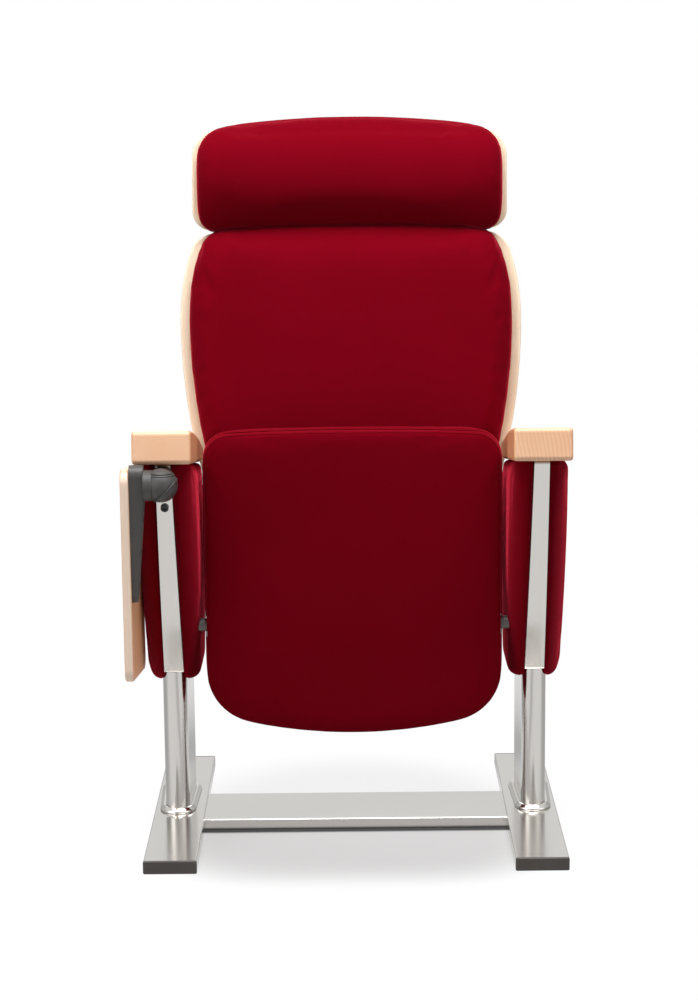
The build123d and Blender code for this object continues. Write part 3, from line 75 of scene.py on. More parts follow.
# ------------------------------------------------------------------ shader helpers
class Tree:
    """A node tree under construction: short names for the nodes that it needs."""

    def __init__(self, tree):
        self.tree = tree
        tree.nodes.clear()

    def node(self, kind, **settings):
        made = self.tree.nodes.new("ShaderNode" + kind)
        for name, value in settings.items():
            setattr(made, name, value)
        return made

    def put(self, socket, value):
        """Sets a socket to a value, or joins another socket to it."""
        if isinstance(value, bpy.types.NodeSocket):
            self.tree.links.new(value, socket)
        else:
            socket.default_value = value

    def math(self, operation, *values):
        made = self.node("Math", operation=operation)
        for socket, value in zip(made.inputs, values):
            self.put(socket, value)
        return made.outputs[0]

    def times(self, a, b):
        return self.math("MULTIPLY", a, b)

    def squared_sum(self, a, b):
        return self.math("ADD", self.times(a, a), self.times(b, b))

    def split(self, vector):
        """The X, Y and Z of a vector."""
        made = self.node("SeparateXYZ")
        self.put(made.inputs[0], vector)
        return made.outputs

    def remap(self, value, low, high, new_low=0.0, new_high=1.0, kind="LINEAR"):
        """Carries the stretch from low to high over to the new one, and holds what lies outside."""
        made = self.node("MapRange", interpolation_type=kind)
        for socket, number in zip(made.inputs[:5], (value, low, high, new_low, new_high)):
            self.put(socket, number)
        return made.outputs[0]

    def span(self, value, low, high, new_low=0.0, new_high=1.0):
        """The same with soft ends."""
        return self.remap(value, low, high, new_low, new_high, "SMOOTHSTEP")

    def mix(self, share, a, b):
        made = self.node("Mix", data_type="RGBA")
        self.put(made.inputs["Factor"], share)
        self.put(made.inputs[6], a)
        self.put(made.inputs[7], b)
        return made.outputs[2]

    def mix_numbers(self, share, a, b):
        made = self.node("Mix", data_type="FLOAT")
        self.put(made.inputs[0], share)
        self.put(made.inputs[2], a)
        self.put(made.inputs[3], b)
        return made.outputs[0]


class Surface(Tree):
    """A material under construction, round one Principled shader."""

    def __init__(self, name):
        self.material = bpy.data.materials.new(name)
        self.material.use_nodes = True
        super().__init__(self.material.node_tree)
        out = self.node("OutputMaterial")
        self.skin = self.node("BsdfPrincipled")
        self.put(out.inputs["Surface"], self.skin.outputs[0])
        place = self.node("TexCoord").outputs
        self.spot = place["Object"]
        self.normal = place["Normal"]

    def set(self, **values):
        """Sets the shader's own sockets; an underscore stands for a space in a socket's name."""
        for name, value in values.items():
            self.put(self.skin.inputs[name.replace("_", " ")], value)

    def squarely(self, axis, least):
        """1 on faces that look along an axis, either way, by at least this much."""
        facing = self.split(self.normal)[axis]
        return self.math("GREATER_THAN", self.math("ABSOLUTE", facing), least)

    def mapped(self, scale=(1, 1, 1), turn=(0, 0, 0), source=None):
        made = self.node("Mapping")
        self.put(made.inputs["Vector"], source or self.spot)
        made.inputs["Scale"].default_value = scale
        made.inputs["Rotation"].default_value = [math.radians(v) for v in turn]
        return made.outputs[0]

    def noise(self, vector, scale, detail=2.0, rough=0.5):
        made = self.node("TexNoise")
        self.put(made.inputs["Vector"], vector)
        made.inputs["Scale"].default_value = scale
        made.inputs["Detail"].default_value = detail
        made.inputs["Roughness"].default_value = rough
        return made.outputs["Fac"]

    def bump(self, height, distance, strength):
        made = self.node("Bump")
        made.inputs["Strength"].default_value = strength
        made.inputs["Distance"].default_value = distance
        self.put(made.inputs["Height"], height)
        return made.outputs[0]


def rgb(r, g, b):
    """A colour given as it looks on screen, 0 to 255, as linear light."""

    def linear(v):
        v = v / 255
        return v / 12.92 if v <= 0.04045 else ((v + 0.055) / 1.055) ** 2.4

    return (linear(r), linear(g), linear(b), 1.0)


def scaled(colour, share, more=0.0):
    return tuple(v * share + more for v in colour[:3]) + (1.0,)


# ------------------------------------------------------------------ materials
THREAD = 0.0011
THREAD_WANDER = 0.0012
THREADS_TURN = 0.72
WOOL = (rgb(110, 0, 15), rgb(116, 0, 18))
WOOL_SLUB = rgb(140, 2, 28)
# The dark colour painted into the hollows between the threads as shade.
WEAVE_HOLLOW_SHADE = rgb(66, 0, 8)
CORD = (rgb(100, 0, 13), rgb(122, 2, 20))


def fabric_material():
    """Plain-woven wool: a fine weave with painted shade in the hollows between its threads, slubs,
    slow changes of tone and a soft nap.
    """
    s = Surface("red_wool")
    spot = s.split(s.spot)
    u = s.mix_numbers(s.squarely(0, THREADS_TURN), spot[0], spot[1])
    v = s.mix_numbers(s.squarely(2, THREADS_TURN), spot[2], spot[1])
    drift = s.times(s.math("SUBTRACT", s.noise(s.spot, 90.0), 0.5), THREAD_WANDER)
    u = s.math("DIVIDE", s.math("ADD", u, drift), THREAD)
    v = s.math("DIVIDE", s.math("ADD", v, drift), THREAD)
    parity = s.math("ADD", s.math("FLOOR", u), s.math("FLOOR", v))
    over = s.math("GREATER_THAN", s.math("PINGPONG", parity, 1.0), 0.5)
    warp, weft = (s.math("ABSOLUTE", s.math("SINE", s.times(w, math.pi))) for w in (u, v))
    weave = s.mix_numbers(over, warp, weft)
    slub = s.noise(s.mapped(scale=(1.0, 1.0, 0.16)), 700.0)
    tone = s.noise(s.spot, 5.0)
    fuzz = s.noise(s.spot, 2600.0, 1.0)
    base = s.mix(s.remap(tone, 0.3, 0.7), *WOOL)
    base = s.mix(s.times(slub, 0.16), base, WOOL_SLUB)
    # Painted shade: darker where the threads dip, in the hollows between them.
    base = s.mix(s.remap(weave, 0.0, 0.45, 0.24, 0.0), base, WEAVE_HOLLOW_SHADE)
    height = s.math("ADD", s.times(weave, 0.75), s.times(fuzz, 0.25))
    s.set(Base_Color=base, Roughness=0.9, Normal=s.bump(height, 0.00016, 0.5), Sheen_Weight=1.0,
          Sheen_Roughness=0.36, Sheen_Tint=(1.0, 0.05, 0.1, 1.0), Specular_IOR_Level=0.03)
    return s.material


def thread_material():
    """Twisted sewing thread and piping cord, a shade deeper than the cloth."""
    s = Surface("red_thread")
    twist = s.noise(s.spot, 1500.0, 1.0)
    s.set(Base_Color=s.mix(twist, *CORD), Roughness=0.72, Normal=s.bump(twist, 0.0002, 0.6),
          Sheen_Weight=0.3, Sheen_Tint=(1.0, 0.06, 0.12, 1.0), Specular_IOR_Level=0.05)
    return s.material


BEECH_LIGHT = (250, 206, 170)
BEECH_MID = (244, 194, 157)
BEECH_RING = (224, 160, 118)
BEECH_FLECK = rgb(190, 136, 94)
BEECH_SIDE_LIGHT_PAINT = rgb(255, 184, 124)
BEECH_FRONT_LIGHT_PAINT = rgb(255, 240, 226)
SIDE_ON = 0.6


def flecks(s, scale, source):
    """The short dark rays of beech, where a stretched noise is at its highest."""
    return s.remap(s.noise(s.mapped(scale=scale, source=source), 760.0, 1.0), 0.68, 0.76)


def wood_material(name, turn, ring_centre, spacing=0.0030, rings=0.5, pale=1.0, front_light_paint=0.0):
    """Solid beech with its grain along the local Y: rings, rays, a clear satin lacquer, and painted
    light that tints the faces looking sideways.

    rings is the strength of the rings and pale lightens all of it; the last argument is painted
    light that lightens the faces looking forward.
    """
    s = Surface(name)
    spot = s.mapped(turn=turn)
    axes = s.split(spot)
    across = s.math("SUBTRACT", axes[0], ring_centre[0])
    up = s.math("SUBTRACT", axes[2], ring_centre[2])
    radius = s.math("SQRT", s.squared_sum(across, up))
    wander = s.noise(s.mapped(scale=(9, 0.8, 9), source=spot), 1.0)
    radius = s.math("ADD", radius, s.times(wander, 0.012))
    ring = s.math("POWER", s.math("FRACT", s.math("DIVIDE", radius, spacing)), 2.0)
    fibre = s.noise(s.mapped(scale=(1, 0.02, 1), source=spot), 900.0)
    cloud = s.noise(s.mapped(scale=(1, 0.25, 1), source=spot), 11.0)
    light, mid, dark = (
        rgb(*(min(255, c * pale) for c in tone)) for tone in (BEECH_LIGHT, BEECH_MID, BEECH_RING)
    )
    base = s.mix(s.remap(cloud, 0.3, 0.7), light, mid)
    base = s.mix(s.times(ring, rings), base, dark)
    base = s.mix(s.times(fibre, 0.16), base, dark)
    base = s.mix(s.times(flecks(s, (1.0, 0.14, 0.6), spot), 0.3), base, BEECH_FLECK)
    # Painted light: faces that look sideways get a stronger orange, for the warm light that falls
    # on the flanks.
    base = s.mix(s.times(s.squarely(0, SIDE_ON), 0.6), base, BEECH_SIDE_LIGHT_PAINT)
    # Painted light: the faces that look forward are lightened.
    ahead = s.math("LESS_THAN", s.split(s.normal)[1], -SIDE_ON)
    base = s.mix(s.times(ahead, front_light_paint), base, BEECH_FRONT_LIGHT_PAINT)
    grain = s.math("ADD", s.times(fibre, 0.7), s.times(ring, 0.3))
    s.set(Base_Color=base, Roughness=s.remap(fibre, 0.2, 0.8, 0.36, 0.46),
          Normal=s.bump(grain, 0.0001, 0.25), Coat_Weight=0.25, Coat_Roughness=0.25)
    return s.material


VENEER = (rgb(255, 238, 212), rgb(250, 226, 194))
VENEER_FIBRE = rgb(214, 168, 124)
VENEER_FLECK = rgb(190, 138, 96)
PLIES = (rgb(255, 238, 212), rgb(240, 206, 166))
GLUE = rgb(196, 150, 108)
SKIN_SHARE = 0.1


def ply_material(name, lean=0.0, thickness=0.012, depth_zero=0.0, centre=None, layers=7):
    """Moulded beech plywood: a face veneer with upright grain, and plies on its cut edges.

    Its plies lie round an upright axis at centre, or are flat where none is given.
    """
    s = Surface(name)
    leaned = s.mapped(turn=(lean, 0, 0))
    axes = s.split(leaned)
    depth = axes[1]
    if centre:
        rear = s.math("SUBTRACT", axes[1], centre[1])
        across = s.math("SUBTRACT", axes[0], centre[0])
        depth = s.math("SQRT", s.squared_sum(rear, across))
    depth = s.math("SUBTRACT", depth, depth_zero)
    step = s.times(depth, layers / thickness)
    odd = s.math("GREATER_THAN", s.math("PINGPONG", s.math("FLOOR", step), 1.0), 0.5)
    off_middle = s.math("ABSOLUTE", s.math("SUBTRACT", s.math("FRACT", step), 0.5))
    glue = s.remap(off_middle, 0.42, 0.5)
    wander = s.noise(s.mapped(scale=(6, 6, 0.8), source=leaned), 1.0)
    line = s.math("ADD", s.times(axes[0], 160.0), s.times(wander, 9.0))
    cathedral = s.math("POWER", s.math("PINGPONG", line, 1.0), 2.0)
    fibre = s.noise(s.mapped(scale=(1, 1, 0.025), source=leaned), 900.0)
    cloud = s.noise(s.spot, 6.0, 3.0)
    base = s.mix(s.remap(cloud, 0.3, 0.7), *VENEER)
    base = s.mix(s.times(cathedral, 0.12), base, VENEER_FIBRE)
    base = s.mix(s.times(fibre, 0.14), base, VENEER_FIBRE)
    base = s.mix(s.times(flecks(s, (1.0, 1.0, 0.14), leaned), 0.25), base, VENEER_FLECK)
    edge = s.mix(s.times(odd, 0.3), *PLIES)
    edge = s.mix(s.times(glue, 0.25), edge, GLUE)
    inside = s.times(s.math("GREATER_THAN", depth, thickness * SKIN_SHARE),
                     s.math("LESS_THAN", depth, thickness * (1 - SKIN_SHARE)))
    s.set(Base_Color=s.mix(inside, base, edge), Roughness=s.remap(fibre, 0.2, 0.8, 0.34, 0.46),
          Normal=s.bump(fibre, 0.0001, 0.3), Coat_Weight=0.25, Coat_Roughness=0.24)
    return s.material


ALONG = {"X": (0.012, 1, 1), "Y": (1, 0.012, 1), "Z": (1, 1, 0.012)}


def metal_material(name, colour, rough, along, lines=0.2):
    """Metal finished with a fine belt: faint lines along one axis, and slow changes in polish."""
    s = Surface(name)
    brush = s.noise(s.mapped(scale=ALONG[along]), 2400.0, 2.0, 0.6)
    cloud = s.noise(s.spot, 5.0)
    base = s.mix(s.times(brush, lines), colour, scaled(colour, 0.9))
    polish = s.math("ADD", s.remap(brush, 0.2, 0.8, rough - 0.02, rough + 0.03),
                    s.remap(cloud, 0.3, 0.7, -0.015, 0.02))
    s.set(Base_Color=base, Metallic=1.0, Roughness=polish, Normal=s.bump(brush, 0.00002, 0.12))
    return s.material


def cast_material(name, colour, rough, grit=0.0004):
    """As-cast or zinc-plated metal with a fine grit."""
    s = Surface(name)
    grain = s.noise(s.spot, 1 / grit, 3.0, 0.6)
    base = s.mix(s.noise(s.spot, 40.0), colour, scaled(colour, 0.78))
    s.set(Base_Color=base, Metallic=1.0, Roughness=s.remap(grain, 0.3, 0.7, rough, rough + 0.15),
          Normal=s.bump(grain, 0.0001, 0.5))
    return s.material


PLASTIC_GRIT = 0.00055
PLASTIC_WEAR = 0.25


def plastic_material(name, colour, rough):
    """Moulded plastic with an eroded skin that is rubbed smoother and paler in patches."""
    s = Surface(name)
    grain = s.noise(s.spot, 1 / PLASTIC_GRIT, 2.0, 0.6)
    cloud = s.noise(s.spot, 26.0, 3.0)
    worn = s.times(s.remap(cloud, 0.45, 0.75), PLASTIC_WEAR)
    s.set(Base_Color=s.mix(worn, colour, scaled(colour, 1.5, 0.01)),
          Roughness=s.remap(cloud, 0.3, 0.7, rough + 0.06, rough - 0.05),
          Normal=s.bump(grain, 0.00012, 0.5))
    return s.material


# The backrest leans about a line across BACK_POINT; its shell curves round an upright axis.
LEAN_DEGREES = 12.0
LEAN = math.radians(LEAN_DEGREES)
BACK_POINT = (0.0, 0.150, 0.570)
SHELL_DEPTH = BACK_POINT[1] * math.cos(LEAN) - BACK_POINT[2] * math.sin(LEAN)
SHELL_CURVE = 1.1
SHELL_THICKNESS = 0.012
ARM_SLOPE = 9.5
STEEL = rgb(205, 202, 198)

MAT = {}


def make_materials():
    MAT["fabric"] = fabric_material()
    MAT["thread"] = thread_material()
    MAT["left_armrest"] = wood_material(
        "beech_left", (ARM_SLOPE, 0, 0), (-0.5, 0, 0.45), spacing=0.0058, rings=0.55)
    MAT["right_armrest"] = wood_material(
        "beech_right", (ARM_SLOPE, 0, 0), (0.3, 0, 0.2), spacing=0.0048, rings=0.12)
    MAT["tablet"] = wood_material(
        "beech_tablet", (90, 0, 0), (-0.62, 0.0, 0.2), pale=1.06, front_light_paint=0.6)
    MAT["shell"] = ply_material(
        "beech_shell", lean=LEAN_DEGREES, thickness=SHELL_THICKNESS, depth_zero=SHELL_CURVE,
        centre=(0.0, SHELL_DEPTH - SHELL_CURVE))
    MAT["board"] = ply_material("raw_plywood", depth_zero=-0.032)
    MAT["core"] = ply_material("raw_core", depth_zero=-0.2, thickness=0.5, layers=3)
    for axis in "XYZ":
        MAT["steel_" + axis] = metal_material("satin_steel_" + axis, STEEL, 0.16, axis)
    MAT["weld"] = metal_material("polished_weld", rgb(214, 211, 207), 0.13, "X")
    MAT["zinc"] = cast_material("zinc_plate", rgb(176, 178, 180), 0.3)
    # A darker copy of the zinc plate for the pivot stubs, which sit deep beside the seat: painted
    # shade.
    MAT["zinc_painted_shade"] = cast_material("zinc_painted_shade", rgb(104, 100, 98), 0.45)
    MAT["alloy"] = cast_material("cast_alloy", rgb(168, 170, 172), 0.42, 0.0006)
    MAT["wire"] = metal_material("spring_wire", rgb(110, 110, 114), 0.36, "X", 0.3)
    MAT["black_plastic"] = plastic_material("black_plastic", rgb(62, 60, 58), 0.46)
    MAT["cap_plastic"] = plastic_material("cap_plastic", rgb(62, 57, 53), 0.5)
    MAT["acetal"] = plastic_material("natural_acetal", rgb(226, 222, 210), 0.38)
    MAT["rubber"] = plastic_material("bumper_rubber", rgb(38, 38, 38), 0.7)
    MAT["black_steel"] = plastic_material("black_oxide", rgb(36, 36, 37), 0.34)


NODE_MATERIAL = {
    "runner": "steel_Y", "column": "steel_Z", "column_weld": "weld", "hoop": "steel_Z",
    "crossbar": "steel_X", "panel_core": "core",
    "back_bracket": "zinc", "head_bracket": "zinc", "pivot_stub": "zinc_painted_shade", "stop_cam": "zinc",
    "pivot_housing": "alloy", "return_spring": "wire", "runner_end_caps": "cap_plastic",
    "knuckle_rotor": "black_plastic", "knuckle_socket": "black_plastic",
    "tablet_arm": "black_plastic", "armrest_screws": "zinc", "stub_screws": "zinc",
    "retaining_rings": "wire", "back_bracket_screws": "zinc", "head_bracket_screws": "zinc",
    "wing_screws": "zinc", "tablet_arm_screws": "zinc", "knuckle_pin": "zinc",
    "tablet_mount_screws": "black_steel", "backing_plate": "black_steel",
    "pivot_bushes": "acetal", "knuckle_washer": "acetal", "stop_bumpers": "rubber",
    "back_shell": "shell", "head_shell": "shell", "tablet_board": "tablet",
    "seat_board": "board",
}


def dress_nodes():
    """Gives every CAD node that stays its material."""
    for name, node in NODES.items():
        plain = name.removeprefix("left_").removeprefix("right_")
        key = name if name in MAT else NODE_MATERIAL.get(plain)
        if key is None:
            continue
        node.data.materials.clear()
        node.data.materials.append(MAT[key])


# ------------------------------------------------------------------ soft pieces
def smooth(mesh):
    for face in mesh.polygons:
        face.use_smooth = True


def new_object(name, mesh, material):
    obj = bpy.data.objects.new(name, mesh)
    bpy.context.scene.collection.objects.link(obj)
    mesh.materials.clear()
    mesh.materials.append(material)
    smooth(mesh)
    return obj


def applied(obj):
    """The object's mesh with its modifiers worked in, and none left on it."""
    graph = bpy.context.evaluated_depsgraph_get()
    mesh = bpy.data.meshes.new_from_object(obj.evaluated_get(graph))
    obj.modifiers.clear()
    old = obj.data
    obj.data = mesh
    bpy.data.meshes.remove(old)
    return mesh


def points_of(mesh):
    flat = np.empty(len(mesh.vertices) * 3)
    mesh.vertices.foreach_get("co", flat)
    return flat.reshape(-1, 3)


def set_points(mesh, points):
    mesh.vertices.foreach_set("co", np.ascontiguousarray(points, dtype=float).ravel())
    mesh.update()


def soft_copy(node, name, voxel):
    """A remeshed copy of a CAD cushion, ready to swell."""
    mesh = NODES[node].data.copy()
    bm = bmesh.new()
    bm.from_mesh(mesh)
    bmesh.ops.remove_doubles(bm, verts=bm.verts, dist=1e-5)
    bm.to_mesh(mesh)
    bm.free()
    obj = new_object(name, mesh, MAT["fabric"])
    fine = obj.modifiers.new("remesh", "REMESH")
    fine.mode = "VOXEL"
    fine.voxel_size = voxel
    fine.use_smooth_shade = True
    applied(obj)
    return obj


PRESSURE = 4.0
STIFFNESS = 18
BENDING = 1.2
FRAMES = 20


def inflate(obj, held, cap):
    """Swells a pad with Blender's cloth. Points where held is True stay; none moves over cap."""
    start = points_of(obj.data).copy()
    pins = obj.vertex_groups.new(name="held")
    pins.add([int(i) for i in np.flatnonzero(held)], 1.0, "REPLACE")
    cloth = obj.modifiers.new("cloth", "CLOTH")
    cloth.settings.use_pressure = True
    cloth.settings.uniform_pressure_force = PRESSURE
    cloth.settings.vertex_group_mass = "held"
    cloth.settings.tension_stiffness = STIFFNESS
    cloth.settings.compression_stiffness = STIFFNESS
    cloth.settings.bending_stiffness = BENDING
    cloth.settings.quality = 4
    cloth.settings.effector_weights.gravity = 0.0
    cloth.collision_settings.use_collision = False
    cloth.collision_settings.use_self_collision = False
    cloth.point_cache.frame_start = 1
    cloth.point_cache.frame_end = FRAMES
    scene = bpy.context.scene
    for step in range(1, FRAMES + 1):
        scene.frame_set(step)
    mesh = applied(obj)
    obj.vertex_groups.clear()
    scene.frame_set(1)
    moved = points_of(mesh) - start
    length = np.linalg.norm(moved, axis=1, keepdims=True)
    moved *= np.minimum(1.0, cap / np.maximum(length, 1e-9))
    moved[held] = 0.0
    set_points(mesh, start + moved)


EASE = 0.6


def relaxed(obj, rounds, free=None):
    """Rounds off the rims of a pad: each free point moves towards the middle of its neighbours."""
    mesh = obj.data
    edges = np.empty(len(mesh.edges) * 2, dtype=np.int64)
    mesh.edges.foreach_get("vertices", edges)
    a, b = edges.reshape(-1, 2).T
    points = points_of(mesh)
    size = len(points)
    count = np.bincount(np.concatenate([a, b]), minlength=size)[:, None]
    free = np.ones(size) if free is None else np.asarray(free, dtype=float)
    for _ in range(rounds):
        total = np.zeros_like(points)
        for k in range(3):
            total[:, k] = np.bincount(a, points[b, k], size) + np.bincount(b, points[a, k], size)
        points += free[:, None] * EASE * (total / count - points)
    set_points(mesh, points)


def finer(obj):
    fit = obj.modifiers.new("finer", "SUBSURF")
    fit.levels = 1
    fit.render_levels = 1
    return applied(obj)


def turned(points, angle):
    """Points turned about the X axis."""
    c, s = math.cos(angle), math.sin(angle)
    x, y, z = points.T
    return np.stack([x, y * c - z * s, y * s + z * c], 1)


def lean_frame(points):
    """Points in the backrest's own frame: across, rearwards from its plane, and up along it."""
    return turned(points - np.array(BACK_POINT), LEAN)


RIM_MEETS = 0.002
CROWN = {
    # node: depth, then (how far, over what width) for the top, the foot and the sides
    "back_cushion": (0.045, (0.016, 0.09), (0.015, 0.26), (0.009, 0.08)),
    "head_cushion": (0.055, (0.030, 0.10), (0.020, 0.08), (0.008, 0.05)),
}


def crowned(obj, node):
    """Fits a cushion of the backrest to its CAD outline, and rounds its front away to the rims.

    It reaches RIM_MEETS past the outline at the top and the foot, so that no slit shows there.
    """
    solid = lean_frame(points_of(NODES[node].data))
    (left, _, low), (right, _, high) = solid.min(0), solid.max(0)
    low, high = low - RIM_MEETS, high + RIM_MEETS
    local = lean_frame(points_of(obj.data))
    for k, start, end in ((0, left, right), (2, low, high)):
        mine = (local[:, k].min(), local[:, k].max())
        local[:, k] = start + (local[:, k] - mine[0]) * (end - start) / (mine[1] - mine[0])
    depth, top, foot, sides = CROWN[node]
    radius = np.hypot(local[:, 0], local[:, 1] + SHELL_CURVE)
    proud = np.clip((SHELL_CURVE - radius) / depth, 0.0, 1.0)
    flank = np.minimum(local[:, 0] - left, right - local[:, 0])
    for (reach, width), away in (
        (top, high - local[:, 2]), (foot, local[:, 2] - low), (sides, flank),
    ):
        local[:, 1] += proud * np.clip(1 - away / width, 0.0, 1.0) ** 2 * reach
    set_points(obj.data, turned(local, -LEAN) + np.array(BACK_POINT))


SOFT = {
    # node: (voxel, rounds that soften its rims, most that a point may swell, fill)
    "back_cushion": (0.006, 10, 0.006, 0.8),
    "head_cushion": (0.005, 12, 0.005, 0.85),
    "seat_underside_pad": (0.004, 2, 0.0015, 0.8),
    "seat_cushion": (0.006, 14, 0.006, 0.8),
    "right_outer_pad": (0.004, 4, 0.002, 0.7),
    "right_inner_pad": (0.004, 4, 0.001, 0.7),
    "left_outer_pad": (0.004, 4, 0.002, 0.7),
    "left_inner_pad": (0.004, 4, 0.001, 0.7),
}
PIVOT = (-0.027, 0.322)
POCKET_RADIUS = 0.034
SHELL_RIM = 0.008
UNDERSIDE_BACK = -0.0375
SEAT_FOOT = -0.012
SEAT_WING = (0.17, 0.004, 0.04)
OUTER_PAD_BASE = 0.302
INNER_PAD_BASE = 0.258


def held_points(node, points):
    """The side of a pad that is stapled or bolted down, which can't swell."""
    reach, y, z = np.abs(points[:, 0]), points[:, 1], points[:, 2]
    if node in CROWN:
        local = lean_frame(points)
        return np.hypot(local[:, 0], local[:, 1] + SHELL_CURVE) > SHELL_CURVE - SHELL_RIM
    if node == "seat_underside_pad":
        return y > UNDERSIDE_BACK
    if node == "seat_cushion":
        inner, depth, half = SEAT_WING
        return (y < SEAT_FOOT) | ((y < depth) & (reach > inner) & (abs(z - PIVOT[1]) < half))
    if "outer" in node:
        return reach < OUTER_PAD_BASE
    pocket = np.hypot(y - PIVOT[0], z - PIVOT[1]) < POCKET_RADIUS
    return (reach > INNER_PAD_BASE) | pocket


PAD_FRONT_ROUND = 0.032
PAD_FRONT_DEPTH = 0.085
PAD_THINNER = 0.003
PAD_HANG = 0.0075
PAD_LEVEL = 0.008


def pillow_front(obj, node):
    """Bows the front of a side pad back towards its free face, and lets its foot hang lower."""
    points = points_of(obj.data)
    reach = np.abs(points[:, 0])
    base, face = reach.max(), reach.min()
    if "outer" in node:
        base, face = face, base
    share = np.clip((reach - base) / (face - base), 0.0, 1.0)
    low, high = points[:, 2].min(), points[:, 2].max()
    levels = np.arange(low, high + PAD_LEVEL, PAD_LEVEL)
    fronts = [points[np.abs(points[:, 2] - z) < PAD_LEVEL, 1].min() for z in levels]
    behind = points[:, 1] - np.interp(points[:, 2], levels, fronts)
    ahead = 1 - np.clip(behind / PAD_FRONT_DEPTH, 0.0, 1.0)
    points[:, 1] += PAD_FRONT_ROUND * share ** 2 * ahead ** 2
    inward = np.sign(points[:, 0]) * np.sign(base - face)
    points[:, 0] += inward * PAD_THINNER * share * ahead ** 1.5
    points[:, 2] -= PAD_HANG * np.clip(1 - (points[:, 2] - low) / (high - low), 0.0, 1.0) ** 1.5
    set_points(obj.data, points)


def soft_pieces():
    """Makes the eight fabric pieces, each in place of its CAD node, and returns them by node."""
    made = {}
    for node, (voxel, rounds, cap, fill) in SOFT.items():
        obj = soft_copy(node, node + "_cover", voxel)
        held = held_points(node, points_of(obj.data))
        relaxed(obj, 2)
        relaxed(obj, rounds, ~held)
        if node.startswith(("left_", "right_")):
            pillow_front(obj, node)
        inflate(obj, held, cap)
        relaxed(obj, 2)
        if node in CROWN:
            crowned(obj, node)
        smooth(finer(obj))
        body = "seat" if node.startswith("seat") else "stand"
        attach(obj, body)
        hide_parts(node)
        made[node] = obj
    return made


# ------------------------------------------------------------------ piping and seams
RING_STEP = 0.004


def quads(rows, count, closed):
    """Faces between rows of points, each row a closed ring of count points."""
    faces = []
    for row in range(rows if closed else rows - 1):
        here, there = row * count, (row + 1) % rows * count
        for k in range(count):
            m = (k + 1) % count
            faces.append((here + k, there + k, there + m, here + m))
    return faces


def closed_mesh(name, points, faces):
    """A mesh with all its faces turned outwards."""
    mesh = bpy.data.meshes.new(name)
    mesh.from_pydata([tuple(v) for v in points], [], faces)
    bm = bmesh.new()
    bm.from_mesh(mesh)
    bmesh.ops.recalc_face_normals(bm, faces=bm.faces)
    bm.to_mesh(mesh)
    bm.free()
    return mesh


def ring_round(points, step):
    """Evenly spaced points round the outside of flat points."""
    hull = convex_hull_2d([Vector(p) for p in points])
    ring = np.array([points[i] for i in hull])
    ring = np.vstack([ring, ring[:1]])
    lengths = np.linalg.norm(np.diff(ring, axis=0), axis=1)
    along = np.concatenate([[0.0], np.cumsum(lengths)])
    spots = np.linspace(0, along[-1], int(along[-1] / step), endpoint=False)
    return np.stack([np.interp(spots, along, ring[:, k]) for k in (0, 1)], 1)


def outward(ring):
    """The outward direction at each point of a flat ring."""
    ahead = np.roll(ring, -1, 0) - np.roll(ring, 1, 0)
    normal = np.stack([ahead[:, 1], -ahead[:, 0]], 1)
    normal /= np.linalg.norm(normal, axis=1, keepdims=True)
    if ((ring - ring.mean(0)) * normal).sum() < 0:
        normal = -normal
    return normal


def evened(ring, rounds):
    """Evens out the values round a closed ring."""
    for _ in range(rounds):
        ring = (np.roll(ring, 1, 0) + 2 * ring + np.roll(ring, -1, 0)) / 4
    return ring


def outline_of(obj, inset):
    """Front-view outline of a piece whose outline is convex, as evenly spaced (x, z) points."""
    ring = evened(ring_round(points_of(obj.data)[:, [0, 2]], RING_STEP), 6)
    return ring - outward(ring) * inset


def tube(name, path, radius, material, sides=10, beside=(0.0, 1.0, 0.0)):
    """A round cord along a closed path of points; beside never points along the path."""
    path = np.asarray(path, dtype=float)
    ahead = np.roll(path, -1, 0) - np.roll(path, 1, 0)
    ahead /= np.linalg.norm(ahead, axis=1, keepdims=True)
    side = np.cross(ahead, beside)
    side /= np.linalg.norm(side, axis=1, keepdims=True)
    up = np.cross(side, ahead)
    turns = np.linspace(0, 2 * math.pi, sides, endpoint=False)
    rings = [path + radius * (math.cos(t) * side + math.sin(t) * up) for t in turns]
    points = np.stack(rings, 1).reshape(-1, 3)
    return new_object(name, closed_mesh(name, points, quads(len(path), sides, True)), material)


PIPING = 0.0007
PIPING_INSET = 0.0022
PIPING_PROUD = 0.0004
AHEAD_OF_SEAT = -0.3
RIM_DEPTH = -0.05
WELT = 0.0008
WELT_INSET = 0.0012
WELT_AT = -0.0322


def seat_piping(cover):
    """The piping round the underside's rim, laid on the cover's own surface.

    Where the evened outline runs just past the cover, the piping stays at RIM_DEPTH.
    """
    ring = outline_of(cover, PIPING_INSET)
    tree = BVHTree.FromPolygons([v.co for v in cover.data.vertices],
                                [p.vertices for p in cover.data.polygons])
    hits = [tree.ray_cast(Vector((x, AHEAD_OF_SEAT, z)), Vector((0, 1, 0)))[0] for x, z in ring]
    depth = np.array([(hit.y if hit else RIM_DEPTH) - PIPING_PROUD for hit in hits])
    depth = evened(depth, 3)
    path = np.stack([ring[:, 0], depth, ring[:, 1]], 1)
    cord = tube("seat_piping", path, PIPING, MAT["thread"])
    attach(cord, "seat")


def seat_welt(cover):
    """The welt in the groove between the seat's two cushions."""
    path = [(x, WELT_AT, z) for x, z in outline_of(cover, WELT_INSET)]
    cord = tube("seat_welt", path, WELT, MAT["thread"])
    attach(cord, "seat")


# ------------------------------------------------------------------ hard details
# A weld's section: outwards from the column's foot in legs, and up in shares of its height.
WELD_SECTION = ((-1.0, 1.0), (-0.86, 1.02), (-0.66, 0.94), (-0.48, 0.78), (-0.3, 0.62),
                (-0.12, 0.5), (0.0, 0.36), (0.06, 0.18), (0.0, 0.0))
WELD_LEG = 0.0065
WELD_STEP = 0.0022
WELD_FLOOR = 0.001


